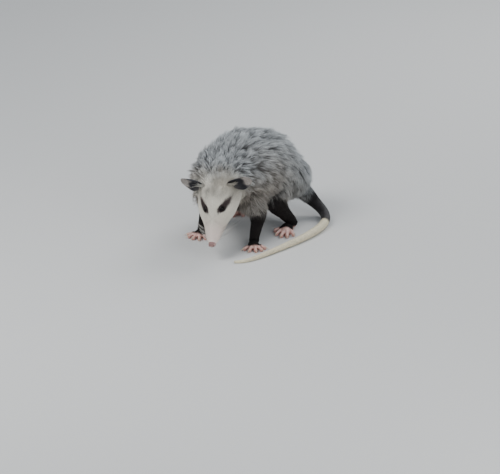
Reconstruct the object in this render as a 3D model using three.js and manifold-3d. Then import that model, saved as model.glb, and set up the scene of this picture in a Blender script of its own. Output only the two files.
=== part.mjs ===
// Virginia opossum, life size, crouching on the floor with its head lowered.
// Millimetres, +Z up, the animal faces -Y and its left side is +X.
import * as THREE from 'three';
import { mergeVertices } from 'three/addons/utils/BufferGeometryUtils.js';
import Module from 'manifold-3d';

const wasm = await Module();
wasm.setup();

const { sin, cos, min, max, sqrt, PI } = Math;
const { clamp, degToRad, lerp, smoothstep } = THREE.MathUtils;
const vector = (x, y, z) => new THREE.Vector3(x, y, z);

// Space that pieces which touch keep between them
const GAP = 0.3;
const SIDES = [{ name: 'left', sign: 1 }, { name: 'right', sign: -1 }];

// Outline of the coat along the back, from the nape to the root of the tail
const BODY = [
  { at: [4, 84, 114], half: 44, rise: 36, drop: 42 },
  { at: [-6, 106, 125], half: 53, rise: 45, drop: 52 },
  { at: [-8, 142, 129], half: 70, rise: 56, drop: 66 },
  { at: [-4, 182, 131], half: 80, rise: 66, drop: 78 },
  { at: [6, 220, 131], half: 84, rise: 71, drop: 84 },
  { at: [23, 254, 122], half: 79, rise: 68, drop: 80 },
  { at: [44, 285, 104], half: 70, rise: 55, drop: 64 },
  { at: [66, 307, 80], half: 53, rise: 42, drop: 44 },
  { at: [84, 318, 56], half: 28, rise: 26, drop: 28 },
];
// Share of the body's length that is neck
const NECK_END = 0.2;
// Depth of the coat over the skin, and the share of it that the core fills
const COAT = { back: 25, belly: 14, nape: 0.68, tailRoot: 0.34, core: 0.5 };
// Rows of locks: where each starts along the body, and the size of one lock
const NECK_ROWS = [0.06, 0.14];
const TORSO_ROWS = [0.23, 0.345, 0.46, 0.575, 0.69, 0.8, 0.9];
const LOCK = { reach: 68, width: 39, thick: 4, spacing: 43, sweep: 0.2 };
const LEG_LOCK = { reach: 30, width: 25, thick: 3.4, depth: 9, proud: 5 };
const RUFF = { back: 96, reach: 40, width: 21, thick: 3.6, depth: 9 };
const RUFF_ANGLES = [-90, -58, -30, -4, 78, 102, 184, 210, 238];

// Head: outline of the short fur, measured back from the tip of the nose
const NOSE_TIP = vector(14, 0, 33);
const HEAD_TURN = degToRad(9);
const HEAD_PITCH = degToRad(46);
const HEAD_ROLL = degToRad(11.4);
const HEAD = [
  { back: 5, half: 7.2, rise: 6.2, drop: 8, crown: 0.1 },
  { back: 12, half: 10.6, rise: 9, drop: 12, crown: 0.15 },
  { back: 20, half: 14.2, rise: 11, drop: 14, crown: 0.2 },
  { back: 32, half: 18.5, rise: 13.5, drop: 17, crown: 0.3 },
  { back: 45, half: 23.6, rise: 17, drop: 20, crown: 0.38 },
  { back: 57, half: 29, rise: 21, drop: 23, crown: 0.42 },
  { back: 69, half: 35.5, rise: 25, drop: 26, crown: 0.42 },
  { back: 81, half: 40, rise: 28, drop: 29, crown: 0.36 },
  { back: 93, half: 42, rise: 30, drop: 32, crown: 0.28 },
  { back: 105, half: 41, rise: 31, drop: 34, crown: 0.2 },
  { back: 118, half: 38, rise: 30, drop: 34, crown: 0.1 },
  { back: 130, half: 30, rise: 25, drop: 28, crown: 0 },
];
const EYE = { back: 71.5, above: 18.4, radius: 5.3, sunk: 3.2 };
const LID = { radius: 6.1, tube: 1.7, slant: 1.18 };
const MOUTH = { front: 3, corner: 66, width: 90, depth: 60, lip: 1.7 };
const JAW = { inset: 1.1, lip: 1.3 };
const NOSE = { half: 7.4, height: 5.6, depth: 7, wing: 3.3, nostril: 1.6 };
const EAR = { back: 113, across: 30, above: 22, length: 46, half: 19, thick: 1.7, cup: 10, sunk: 7 };

// Legs: joints as places in the room, with the radius of the limb there
const FORELEG = {
  left: {
    shoulder: [38, 150, 92], elbow: [54, 160, 50], wrist: [60, 116, 14], palm: [64, 102], turn: 30,
  },
  right: {
    shoulder: [-52, 160, 92], elbow: [-64, 186, 50], wrist: [-59, 144, 14], palm: [-58, 130], turn: -14,
  },
  radii: { shoulder: 25, elbow: 17, wrist: 10 },
};
const HINDLEG = {
  left: {
    hip: [56, 260, 88], knee: [70, 212, 56], heel: [96, 238, 14], palm: [93, 214], turn: 12,
  },
  right: {
    hip: [14, 290, 88], knee: [-36, 269, 56], heel: [-14, 304, 14], palm: [-30, 288], turn: -42,
  },
  radii: { hip: 29, knee: 21, heel: 11 },
};
const FOREFOOT = {
  palm: { half: 12, length: 13, height: 15 },
  toes: [-64, -32, 0, 31, 62], toeLength: 17, toeRadius: 3.7, claw: 8,
};
const HINDFOOT = {
  palm: { half: 13.5, length: 27, height: 15 },
  toes: [-24, -8, 10, 30], toeLength: 19, toeRadius: 3.9, claw: 8,
  thumb: { angle: 78, length: 17, back: 4, radius: 4.4 },
};

// Tail: middle line on the floor round the left side, and its radius
const TAIL = [
  { at: [84, 318, 58], radius: 15.5 },
  { at: [107, 327, 32], radius: 12.4 },
  { at: [134, 317, 13.5], radius: 10.4 },
  { at: [151, 284, 8.8], radius: 9.2 },
  { at: [155, 242, 8.1], radius: 8.5 },
  { at: [149, 200, 7.4], radius: 7.8 },
  { at: [138, 160, 6.7], radius: 7.1 },
  { at: [124, 121, 5.9], radius: 6.3 },
  { at: [109, 82, 5.1], radius: 5.5 },
  { at: [93, 45, 4.2], radius: 4.6 },
  { at: [75, 18, 3.3], radius: 3.7 },
  { at: [58, 8, 2.5], radius: 2.8 },
];
const TAIL_CUTS = [0, 0.28, 0.55, 0.79, 1];
const TAIL_RINGS = 38;

const FUR = { color: 0x9a9c98, roughness: 0.95, metalness: 0 };
const FACE = { color: 0xd6cfbf, roughness: 0.9, metalness: 0 };
const DARK_FUR = { color: 0x2e2b2b, roughness: 0.95, metalness: 0 };
const EAR_SKIN = { color: 0x25262c, roughness: 0.7, metalness: 0 };
const PINK_SKIN = { color: 0xc99a90, roughness: 0.6, metalness: 0 };
const TAIL_SKIN = { color: 0xd9cfb4, roughness: 0.7, metalness: 0 };
const EYE_GLOSS = { color: 0x08080a, roughness: 0.08, metalness: 0 };

// Closed geometry to solid and back
function closed(geometry) {
  geometry.deleteAttribute('normal');
  geometry.deleteAttribute('uv');
  return mergeVertices(geometry, 1e-4);
}

function signedVolume(positions, index) {
  const a = vector();
  const b = vector();
  const c = vector();
  let sum = 0;
  for (let i = 0; i < index.length; i += 3) {
    a.fromArray(positions, 3 * index[i]);
    b.fromArray(positions, 3 * index[i + 1]);
    c.fromArray(positions, 3 * index[i + 2]);
    sum += a.dot(b.cross(c));
  }
  return sum / 6;
}

function toSolid(geometry) {
  const vertProperties = Float32Array.from(geometry.attributes.position.array);
  const triVerts = Uint32Array.from(geometry.index.array);
  if (signedVolume(vertProperties, triVerts) < 0) triVerts.reverse();
  return new wasm.Manifold(new wasm.Mesh({ numProp: 3, vertProperties, triVerts }));
}

function toGeometry(solid) {
  const mesh = solid.getMesh();
  const geometry = new THREE.BufferGeometry();
  geometry.setAttribute('position', new THREE.BufferAttribute(mesh.vertProperties, 3));
  geometry.setIndex(new THREE.BufferAttribute(mesh.triVerts, 1));
  geometry.computeVertexNormals();
  return geometry;
}

const join = (solids) => solids.reduce((whole, one) => whole.add(one));
const cut = (solid, cutters) => cutters.reduce((rest, one) => rest.subtract(one), solid);

function largest(solid) {
  const pieces = solid.decompose();
  return pieces.reduce((best, one) => (one.volume() > best.volume() ? one : best));
}

// Repeatable random numbers between 0 and 1
function seeded(start) {
  let state = start;
  return () => {
    state = (state * 1664525 + 1013904223) % 4294967296;
    return state / 4294967296;
  };
}

// A line of rings: each station has a middle, a half width, and a rise and drop from the middle
class RingLine {
  constructor(stations, upward) {
    const at = stations.map((one) => vector(...one.at));
    const size = stations.map((one) => vector(one.half, one.rise, one.drop));
    const crown = stations.map((one) => vector(one.crown ?? 0, 0, 0));
    this.middle = new THREE.CatmullRomCurve3(at);
    this.size = new THREE.CatmullRomCurve3(size);
    this.crown = new THREE.CatmullRomCurve3(crown);
    this.upward = upward;
    this.length = this.middle.getLength();
  }

  frameAt(share) {
    const t = this.middle.getUtoTmapping(clamp(share, 0, 1));
    const along = this.middle.getTangent(t);
    const up = this.upward.clone().addScaledVector(along, -this.upward.dot(along)).normalize();
    const side = vector().crossVectors(along, up);
    const size = this.size.getPoint(t);
    const crown = this.crown.getPoint(t).x;
    return { middle: this.middle.getPoint(t), along, up, side, size, crown };
  }

  // A point of the ring, some depth under its outline; the angle runs from the left side to the top
  pointAt(share, angle, depth = 0) {
    const { middle, up, side, size, crown } = this.frameAt(share);
    const height = sin(angle) > 0 ? size.y : size.z;
    const across = (size.x - depth) * cos(angle) * (1 - crown * max(0, sin(angle)));
    return middle.addScaledVector(side, across).addScaledVector(up, (height - depth) * sin(angle));
  }
}

// Solid of the rings between two shares of a line, made larger all over by grow
function ringSolid(line, { from = 0, to = 1, sides = 16, rings = 8, grow = 0, depth = () => 0 }) {
  const geometry = closed(new THREE.CylinderGeometry(1, 1, 1, sides, rings));
  const position = geometry.attributes.position;
  for (let i = 0; i < position.count; i += 1) {
    const place = vector().fromBufferAttribute(position, i);
    const share = lerp(from, to, 0.5 - place.y);
    const angle = Math.atan2(place.x, place.z);
    const middlePoint = place.x ** 2 + place.z ** 2 < 0.25;
    const point = middlePoint
      ? line.frameAt(share).middle
      : line.pointAt(share, angle, depth(share, angle) - grow);
    if (place.y > 0.499) point.addScaledVector(line.frameAt(share).along, -grow);
    if (place.y < -0.499) point.addScaledVector(line.frameAt(share).along, grow);
    position.setXYZ(i, ...point.toArray());
  }
  return toSolid(geometry);
}

// How many times further its sharp edges, faces and tip move out when a flat lock is made larger
const EDGE_GROWTH = 8;
const FACE_GROWTH = 1.7;
const TIP_GROWTH = 4;

// One flat lock: it leaves the skin, bends over and tapers to its tip at the outline of the coat
// place gives a point of the coat from a share, an angle and a share of the coat's depth
function lockSolid(place, { share, angle, reach, drift, width, thick, tip = 0 }, grow = 0) {
  const steps = 3;
  const geometry = closed(new THREE.ConeGeometry(1, 1, 3, steps));
  const under = (along) => lerp(tip, 1, (1 - along) ** 2);
  const middleAt = (along) => place(share + reach * along, angle + drift * along, under(along));
  const position = geometry.attributes.position;
  for (let i = 0; i < position.count; i += 1) {
    const point = vector().fromBufferAttribute(position, i);
    const along = point.y + 0.5;
    const middle = middleAt(along);
    const behind = along > 0.99 ? 1 - 1 / steps : along - 0.02;
    const way = middleAt(min(1, along + 0.02)).sub(middleAt(behind)).normalize();
    const outward = place(share + reach * along, angle + drift * along, under(along) - 0.2)
      .sub(middle)
      .normalize();
    const across = vector().crossVectors(way, outward).normalize();
    const upright = vector().crossVectors(across, way);
    const half = (width / 2) * (1 - along ** 2.2) * (0.8 + 0.2 * sin(PI * along)) + EDGE_GROWTH * grow;
    const high = thick * (1 - along ** 1.5) + FACE_GROWTH * grow;
    const onAxis = Math.hypot(point.x, point.z) < 1e-6;
    const turn = Math.round(Math.atan2(point.x, point.z) / (PI / 3));
    const isRidge = !onAxis && turn === 0;
    const edge = !onAxis && turn !== 0 ? Math.sign(turn) : 0;
    if (isRidge) middle.addScaledVector(upright, high);
    if (edge !== 0) middle.addScaledVector(upright, -FACE_GROWTH * grow);
    middle.addScaledVector(across, edge * half);
    if (along > 0.99) middle.addScaledVector(way, TIP_GROWTH * grow);
    if (along < 0.01) middle.addScaledVector(way, -grow);
    position.setXYZ(i, ...middle.toArray());
  }
  return toSolid(geometry);
}

// Round limb or toe through places with a radius at each
function roundLine(stations, upward) {
  const rings = stations.map(({ at, radius }) => ({ at, half: radius, rise: radius, drop: radius }));
  return new RingLine(rings, upward);
}

function ball(place, size, { grow = 0, across = 14, down = 8 } = {}) {
  const geometry = closed(new THREE.SphereGeometry(1, across, down));
  geometry.scale(size.x + grow, size.y + grow, size.z + grow);
  geometry.translate(place.x, place.y, place.z);
  return toSolid(geometry);
}

const floorBlock = (() => {
  const size = 2000;
  const geometry = closed(new THREE.BoxGeometry(size, size, size));
  geometry.translate(0, 0, -size / 2);
  return toSolid(geometry);
})();

function node(name, solid, look) {
  const mesh = new THREE.Mesh(toGeometry(largest(solid)), new THREE.MeshStandardMaterial(look));
  mesh.name = name;
  return mesh;
}

// Head, in its own frame: x to its left, y to its crown, z out of the nose
const headPose = new THREE.Matrix4().makeRotationZ(HEAD_TURN)
  .multiply(new THREE.Matrix4().makeRotationX(PI / 2 + HEAD_PITCH))
  .multiply(new THREE.Matrix4().makeRotationZ(HEAD_ROLL))
  .setPosition(NOSE_TIP);
const headLine = new RingLine(
  HEAD.map((one) => ({ ...one, at: [0, 0, -one.back] })),
  vector(0, 1, 0),
);
const headSpan = HEAD.at(-1).back - HEAD[0].back;
const inHead = (solid) => solid.transform(headPose.elements);

// Height of the line of the mouth, some way back from the tip of the nose
const mouthHeight = (back) => -4.6 - 3.2 * sin(PI * smoothstep(back, MOUTH.front - 8, MOUTH.corner + 14));

function mouthBlock(grow) {
  const outline = new THREE.Shape();
  outline.moveTo(-8, mouthHeight(-8) + grow);
  const steps = 7;
  for (let i = 1; i <= steps; i += 1) {
    const back = lerp(-8, MOUTH.corner, i / steps);
    outline.lineTo(back + grow, mouthHeight(back) + grow);
  }
  outline.lineTo(MOUTH.corner + grow, -MOUTH.depth);
  outline.lineTo(-8, -MOUTH.depth);
  const geometry = new THREE.ExtrudeGeometry(outline, { depth: MOUTH.width, bevelEnabled: false });
  geometry.translate(0, 0, -MOUTH.width / 2);
  geometry.rotateY(PI / 2);
  return toSolid(closed(geometry));
}

// Where a place at some height lies on the side of the head, and the way its skin faces there
function onHead(back, above, sign) {
  const share = (back - HEAD[0].back) / headSpan;
  const size = headLine.frameAt(share).size;
  const angle = Math.asin(clamp(above / (above > 0 ? size.y : size.z), -1, 1));
  const a = headLine.pointAt(share, angle);
  const round = headLine.pointAt(share, angle + 0.1).sub(headLine.pointAt(share, angle - 0.1));
  const along = headLine.pointAt(share + 0.02, angle).sub(headLine.pointAt(share - 0.02, angle));
  const normal = vector().crossVectors(round, along).normalize();
  if (normal.x < 0) normal.negate();
  return { place: vector(sign * a.x, a.y, a.z), normal: vector(sign * normal.x, normal.y, normal.z) };
}

function eyeFrame(sign) {
  const { place, normal } = onHead(EYE.back, EYE.above, sign);
  const middle = place.addScaledVector(normal, -EYE.sunk);
  const turn = new THREE.Matrix4().lookAt(normal, vector(), vector(0, 1, 0));
  return { middle, normal, turn };
}

function eyeBall(sign, grow = 0) {
  const { middle } = eyeFrame(sign);
  return ball(middle, vector(EYE.radius, EYE.radius, EYE.radius), { grow, across: 12, down: 8 });
}

function eyeLid(sign) {
  const { middle, normal, turn } = eyeFrame(sign);
  const ring = closed(new THREE.TorusGeometry(LID.radius, LID.tube, 5, 12));
  ring.scale(LID.slant, 1, 1);
  ring.applyMatrix4(turn);
  const place = middle.addScaledVector(normal, EYE.sunk - 0.6);
  ring.translate(place.x, place.y, place.z);
  return toSolid(ring);
}

function nosePad(grow = 0) {
  const pad = ball(
    vector(0, -0.5, -4.5),
    vector(NOSE.half - 1, NOSE.height, NOSE.depth),
    { grow, across: 10, down: 6 },
  );
  const wings = SIDES.map(({ sign }) => ball(
    vector(sign * (NOSE.half - NOSE.wing), -0.8, -3.4),
    vector(NOSE.wing, NOSE.wing + 0.6, NOSE.wing + 1.2),
    { grow, across: 6, down: 5 },
  ));
  return join([pad, ...wings]);
}

function nostrils() {
  const holes = SIDES.map(({ sign }) => ball(
    vector(sign * (NOSE.half - 2.6), -0.6, -0.9),
    vector(NOSE.nostril, NOSE.nostril + 0.4, NOSE.nostril + 1.4),
    { across: 6, down: 4 },
  ));
  const groove = ball(vector(0, -2.6, 1.8), vector(0.5, 3.6, 1.6), { across: 5, down: 4 });
  return [...holes, groove];
}

// Lips: a soft edge along each side of the mouth
function lip(sign, { front, inset, thick, offset }) {
  const steps = 6;
  const stations = [];
  for (let i = 0; i <= steps; i += 1) {
    const back = lerp(front, MOUTH.corner - 1, i / steps);
    const edge = onHead(back, mouthHeight(back) + offset, sign).place;
    edge.x -= sign * inset;
    stations.push({ at: edge.toArray(), radius: thick });
  }
  return ringSolid(roundLine(stations, vector(0, 1, 0)), { sides: 6, rings: steps });
}

// Cup of an ear: a thin leaf, hollow towards the face
function earSolid(sign, grow = 0) {
  const geometry = closed(new THREE.SphereGeometry(1, 14, 9));
  geometry.rotateZ(PI / 2);
  const position = geometry.attributes.position;
  const root = vector(sign * (EAR.across - EAR.sunk), EAR.above, -EAR.back);
  const out = vector(sign * 0.96, 0.12, -0.24).normalize();
  const face = vector(sign * 0.16, 0.12, 0.98).normalize();
  const wide = vector().crossVectors(face, out).normalize();
  for (let i = 0; i < position.count; i += 1) {
    const point = vector().fromBufferAttribute(position, i);
    const share = (point.x + 1) / 2;
    const round = sqrt(max(0, 1 - point.x ** 2));
    const across = round > 0 ? point.y / round : 0;
    const facing = round > 0 ? point.z / round : 0;
    const half = EAR.half * round ** 0.8 * lerp(0.72, 1.06, smoothstep(share, 0, 0.6)) + grow;
    const thick = EAR.thick * (0.35 + 0.65 * round) * round + (round > 0 ? grow : 0);
    const reach = share * (EAR.length + EAR.sunk) + grow * point.x;
    const trough = 1 - (across * half / EAR.half) ** 2;
    const bowl = EAR.cup * trough * sin(PI * (0.18 + 0.72 * reach / (EAR.length + EAR.sunk)));
    const place = root.clone()
      .addScaledVector(out, reach)
      .addScaledVector(wide, across * half)
      .addScaledVector(face, facing * thick - bowl);
    position.setXYZ(i, ...place.toArray());
  }
  return toSolid(geometry);
}

const skullSolid = (grow) => ringSolid(headLine, { sides: 18, rings: 12, grow });
const eyes = SIDES.map(({ sign }) => eyeBall(sign));
const lids = SIDES.map(({ sign }) => eyeLid(sign));
const upperLips = SIDES.map(({ sign }) => (
  lip(sign, { front: 8, inset: 0.9, thick: MOUTH.lip, offset: MOUTH.lip * 0.8 })
));
const lowerLips = SIDES.map(({ sign }) => (
  lip(sign, { front: 12, inset: 1.6, thick: JAW.lip, offset: -JAW.lip * 0.8 })
));
const jawSolid = join([skullSolid(-JAW.inset), ...lowerLips])
  .intersect(mouthBlock(0))
  .subtract(nosePad(GAP + 0.6));
const earSolids = SIDES.map(({ sign }) => earSolid(sign).subtract(skullSolid(GAP)));

// Ruff: short locks from the cheeks, throat and crown that lie back over the neck
function ruffPlace(share, angle, under) {
  const past = max(0, share - 1) * headSpan;
  const depth = lerp(-3, RUFF.depth - 3, under);
  return headLine.pointAt(min(share, 1), angle, depth).add(vector(0, 0, -past));
}

function ruffLocks(grow = 0) {
  const draw = seeded(11);
  return RUFF_ANGLES.map((angle) => lockSolid(ruffPlace, {
    share: (RUFF.back - HEAD[0].back) / headSpan + 0.05 * draw(),
    angle: degToRad(angle + 8 * (draw() - 0.5)),
    reach: (RUFF.reach * lerp(0.85, 1.1, draw())) / headSpan,
    drift: 0.12 * (draw() - 0.5),
    width: RUFF.width,
    thick: RUFF.thick,
  }, grow));
}

// Trunk: a core under the coat, with rows of locks that lie back and down along it
const bodyLine = new RingLine(BODY, vector(0, 0, 1));
const headCutters = [
  inHead(skullSolid(GAP)),
  inHead(join(ruffLocks(GAP))),
  ...SIDES.map(({ sign }) => inHead(earSolid(sign, GAP))),
];

function coatDepth(share, angle) {
  const round = lerp(COAT.belly, COAT.back, smoothstep(sin(angle), -0.9, 0.3));
  const front = lerp(COAT.nape, 1, smoothstep(share, 0, 0.35));
  return round * front * lerp(1, COAT.tailRoot, smoothstep(share, 0.8, 1));
}

const coreDepth = (share, angle) => COAT.core * coatDepth(share, angle);

function coatPlace(share, angle, under) {
  const past = max(0, share - 1) * bodyLine.length;
  const point = bodyLine.pointAt(min(share, 1), angle, under * coatDepth(min(share, 1), angle));
  return point.addScaledVector(bodyLine.frameAt(1).along, past);
}

function rowLocks(shares, seed, grow = 0) {
  const draw = seeded(seed);
  const locks = [];
  shares.forEach((share, row) => {
    const { size } = bodyLine.frameAt(share);
    const count = Math.round((PI * (size.x + (size.y + size.z) / 2)) / LOCK.spacing);
    for (let i = 0; i < count; i += 1) {
      const angle = (2 * PI * (i + 0.5 * (row % 2) + 0.3 * (draw() - 0.5))) / count;
      const longer = lerp(0.86, 1.12, draw()) * lerp(0.72, 1, smoothstep(sin(angle), -0.9, 0));
      const crowding = lerp(1, 0.72, smoothstep(share, 0.78, 0.92));
      locks.push(lockSolid(coatPlace, {
        share: share + 0.025 * (draw() - 0.5),
        angle,
        reach: (LOCK.reach * longer * crowding) / bodyLine.length,
        drift: -LOCK.sweep * cos(angle) + 0.12 * (draw() - 0.5),
        width: LOCK.width * lerp(0.85, 1.1, draw()) * crowding,
        thick: LOCK.thick,
        tip: 0.12 * draw(),
      }, grow));
    }
  });
  return locks;
}

// Legs: each is two lengths and a foot
// A length of a leg with round ends, thickest at its top
function limbPiece(from, to, radii, grow) {
  const start = vector(...from);
  const end = vector(...to);
  const way = end.clone().sub(start).normalize();
  const stations = [
    { at: start.clone().addScaledVector(way, -radii[0] * 0.8), radius: radii[0] * 0.32 },
    { at: start.clone().addScaledVector(way, -radii[0] * 0.3), radius: radii[0] * 0.88 },
    { at: start.clone().lerp(end, 0.5), radius: lerp(radii[0], radii[1], 0.62) },
    { at: end.clone().addScaledVector(way, radii[1] * 0.1), radius: radii[1] },
    { at: end.clone().addScaledVector(way, radii[1] * 0.7), radius: radii[1] * 0.5 },
  ];
  const places = stations.map(({ at, radius }) => ({ at: at.toArray(), radius }));
  const line = roundLine(places, vector(0, -1, 0.2));
  return ringSolid(line, { sides: 12, rings: 6, grow });
}

// Locks on the outer side of an upper leg that hang down along it
function legLocks(from, to, radii, sign, grow) {
  const draw = seeded(radii[0] + sign);
  const start = vector(...from);
  const way = vector(...to).sub(start);
  const span = way.length();
  way.normalize();
  const outside = vector(sign, 0, 0).addScaledVector(way, -sign * way.x).normalize();
  const front = vector().crossVectors(way, outside);
  const place = (share, angle, under) => {
    const radius = lerp(radii[0], radii[1], clamp(share, 0, 1)) * (share > 1 ? 0.92 : 1);
    const reach = radius + lerp(LEG_LOCK.proud, LEG_LOCK.proud - LEG_LOCK.depth, under);
    return start.clone()
      .addScaledVector(way, share * span)
      .addScaledVector(outside, reach * cos(angle))
      .addScaledVector(front, reach * sin(angle));
  };
  const locks = [];
  [0.3, 0.72].forEach((share, row) => {
    [-58, 0, 52].forEach((angle) => {
      locks.push(lockSolid(place, {
        share: share + 0.08 * draw(),
        angle: degToRad(angle + 18 * row + 8 * draw()),
        reach: (LEG_LOCK.reach * lerp(0.85, 1.1, draw())) / span,
        drift: 0.3 * (draw() - 0.5),
        width: LEG_LOCK.width,
        thick: LEG_LOCK.thick,
      }, grow));
    });
  });
  return locks;
}

function legPieces([top, bend, end], [topRadius, bendRadius, endRadius], sign, grow) {
  const radii = [topRadius, bendRadius];
  const upper = join([limbPiece(top, bend, radii, grow), ...legLocks(top, bend, radii, sign, grow)]);
  const lower = limbPiece(bend, end, [bendRadius * 0.95, endRadius], grow);
  return { upper, lower };
}

// Toe with its pad and claw, growing out of the front of a palm, in the foot's own frame
function toe(root, heading, { length, radius, claw }) {
  const way = vector(sin(heading), cos(heading), 0);
  const at = (reach, height) => root.clone().addScaledVector(way, reach).setZ(height).toArray();
  const line = roundLine([
    { at: at(-5, radius + 3), radius },
    { at: at(length * 0.35, radius + 3), radius: radius * 0.92 },
    { at: at(length * 0.72, radius + 1), radius: radius * 0.9 },
    { at: at(length * 0.94, radius - 0.4), radius },
    { at: at(length * 1.04, radius - 0.6), radius: radius * 0.45 },
  ], vector(0, 0, 1));
  const parts = [ringSolid(line, { sides: 5, rings: 4 })];
  if (claw > 0) {
    const hook = roundLine([
      { at: at(length * 0.84, radius + 1), radius: 1.7 },
      { at: at(length + claw * 0.45, radius + 0.6), radius: 1.2 },
      { at: at(length + claw, 1.2), radius: 0.35 },
    ], vector(0, 0, 1));
    parts.push(ringSolid(hook, { sides: 4, rings: 2 }));
  }
  return join(parts);
}

function footSolid({ palm, toes, toeLength, toeRadius, claw, thumb }, sign) {
  const size = vector(palm.half, palm.length, palm.height - 2);
  const sole = ball(vector(0, 0, 2), size, { across: 12, down: 5 });
  const parts = [sole];
  toes.forEach((angle, i) => {
    const heading = degToRad(sign * angle);
    const spread = (i / (toes.length - 1) - 0.5) * 2;
    const root = vector(sign * spread * palm.half * 0.72, palm.length * (0.78 - 0.3 * spread ** 2), 0);
    const length = toeLength * (1 - 0.14 * spread ** 2);
    parts.push(toe(root, heading, { length, radius: toeRadius, claw }));
  });
  if (thumb) {
    const root = vector(-sign * palm.half * 0.5, thumb.back, 0);
    const heading = -sign * degToRad(thumb.angle);
    parts.push(toe(root, heading, { length: thumb.length, radius: thumb.radius, claw: 0 }));
  }
  return join(parts);
}

// Turned about the upright so that its toes point forward and outward
function footPose(palm, turn) {
  return new THREE.Matrix4().makeTranslation(palm[0], palm[1], 0)
    .multiply(new THREE.Matrix4().makeRotationZ(PI + degToRad(turn)));
}

const legs = [];
for (const { name, sign } of SIDES) {
  for (const [kind, plan, foot] of [['fore', FORELEG, FOREFOOT], ['hind', HINDLEG, HINDFOOT]]) {
    const places = plan[name];
    const [top, bend, end] = kind === 'fore'
      ? [places.shoulder, places.elbow, places.wrist]
      : [places.hip, places.knee, places.heel];
    const radii = Object.values(plan.radii);
    const own = legPieces([top, bend, end], radii, sign, 0);
    const grown = legPieces([top, bend, end], radii, sign, GAP);
    const pose = footPose(places.palm, places.turn);
    const whole = footSolid(foot, -sign).transform(pose.elements).subtract(floorBlock);
    legs.push({
      name: `${kind}${name === 'left' ? '_left' : '_right'}`,
      kind,
      side: name,
      upper: own.upper,
      lower: own.lower.subtract(grown.upper),
      foot: whole.subtract(grown.lower),
      cutters: [grown.upper, grown.lower],
    });
  }
}

// Tail, in four lengths
const tailLine = roundLine(TAIL, vector(0, 0, 1));
const tailLengths = [];
for (let i = 1; i < TAIL_CUTS.length; i += 1) {
  const from = TAIL_CUTS[i - 1] + (i > 1 ? GAP / tailLine.length : 0);
  const rings = Math.round(TAIL_RINGS * (TAIL_CUTS[i] - from));
  tailLengths.push(ringSolid(tailLine, { from, to: TAIL_CUTS[i], sides: 10, rings }).subtract(floorBlock));
}
const tailCutter = ringSolid(tailLine, { to: 0.2, sides: 10, rings: 8, grow: GAP });

const legCutters = legs.flatMap((leg) => leg.cutters);
const neckWhole = (grow) => join([
  ringSolid(bodyLine, { to: NECK_END, sides: 18, rings: 4, grow, depth: coreDepth }),
  ...rowLocks(NECK_ROWS, 23, grow),
]);
const torsoWhole = join([
  ringSolid(bodyLine, { from: NECK_END - 0.01, sides: 14, rings: 10, depth: coreDepth }),
  ...rowLocks(TORSO_ROWS, 37),
]);
const headSolid = cut(
  join([skullSolid(0), ...ruffLocks(), ...lids, ...upperLips]),
  [
    mouthBlock(GAP),
    nosePad(GAP),
    ...SIDES.map(({ sign }) => eyeBall(sign, GAP)),
    ...SIDES.map(({ sign }) => earSolid(sign, GAP)),
  ],
);
const neckSolid = cut(neckWhole(0), [...headCutters, ...legCutters]);
const torsoSolid = cut(torsoWhole, [neckWhole(GAP), ...headCutters, ...legCutters, tailCutter, floorBlock]);

const opossum = new THREE.Group();
const head = new THREE.Group();
head.applyMatrix4(headPose);
head.add(node('head', headSolid, FACE));
head.add(node('lower_jaw', jawSolid, FACE));
head.add(node('nose', cut(nosePad(), nostrils()), PINK_SKIN));
SIDES.forEach(({ name }, i) => {
  head.add(node(`eye_${name}`, eyes[i], EYE_GLOSS));
  head.add(node(`ear_${name}`, earSolids[i], EAR_SKIN));
});
opossum.add(head);
opossum.add(node('neck', neckSolid, FUR));
opossum.add(node('torso', torsoSolid, FUR));
for (const leg of legs) {
  const names = leg.kind === 'fore'
    ? ['upper_foreleg', 'forearm', 'forefoot']
    : ['thigh', 'shank', 'hindfoot'];
  opossum.add(node(`${names[0]}_${leg.side}`, leg.upper, DARK_FUR));
  opossum.add(node(`${names[1]}_${leg.side}`, leg.lower, DARK_FUR));
  opossum.add(node(`${names[2]}_${leg.side}`, leg.foot, PINK_SKIN));
}
['tail_root', 'tail_front', 'tail_middle', 'tail_tip'].forEach((name, i) => {
  opossum.add(node(name, tailLengths[i], i === 0 ? DARK_FUR : TAIL_SKIN));
});

// The model stands with the middle of its footprint at the origin
opossum.updateMatrixWorld(true);
const bounds = new THREE.Box3().setFromObject(opossum, true);
const footprint = bounds.getCenter(vector());
opossum.position.set(-footprint.x, -footprint.y, -bounds.min.z);

export default opossum;
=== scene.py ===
# %% [markdown]
# # A life-size opossum for a museum case
# The animal crouches on the floor with its head lowered. This lesson dresses its plain solids:
# one skin for the flesh, a coat of solid tufts over it, and the eyes, claws and whiskers.
# The solids are loaded first, because everything is placed by them.

# %% Load the frame
import math

import bpy
import numpy as np
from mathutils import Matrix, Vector
from mathutils.bvhtree import BVHTree
from mathutils.kdtree import KDTree


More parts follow.
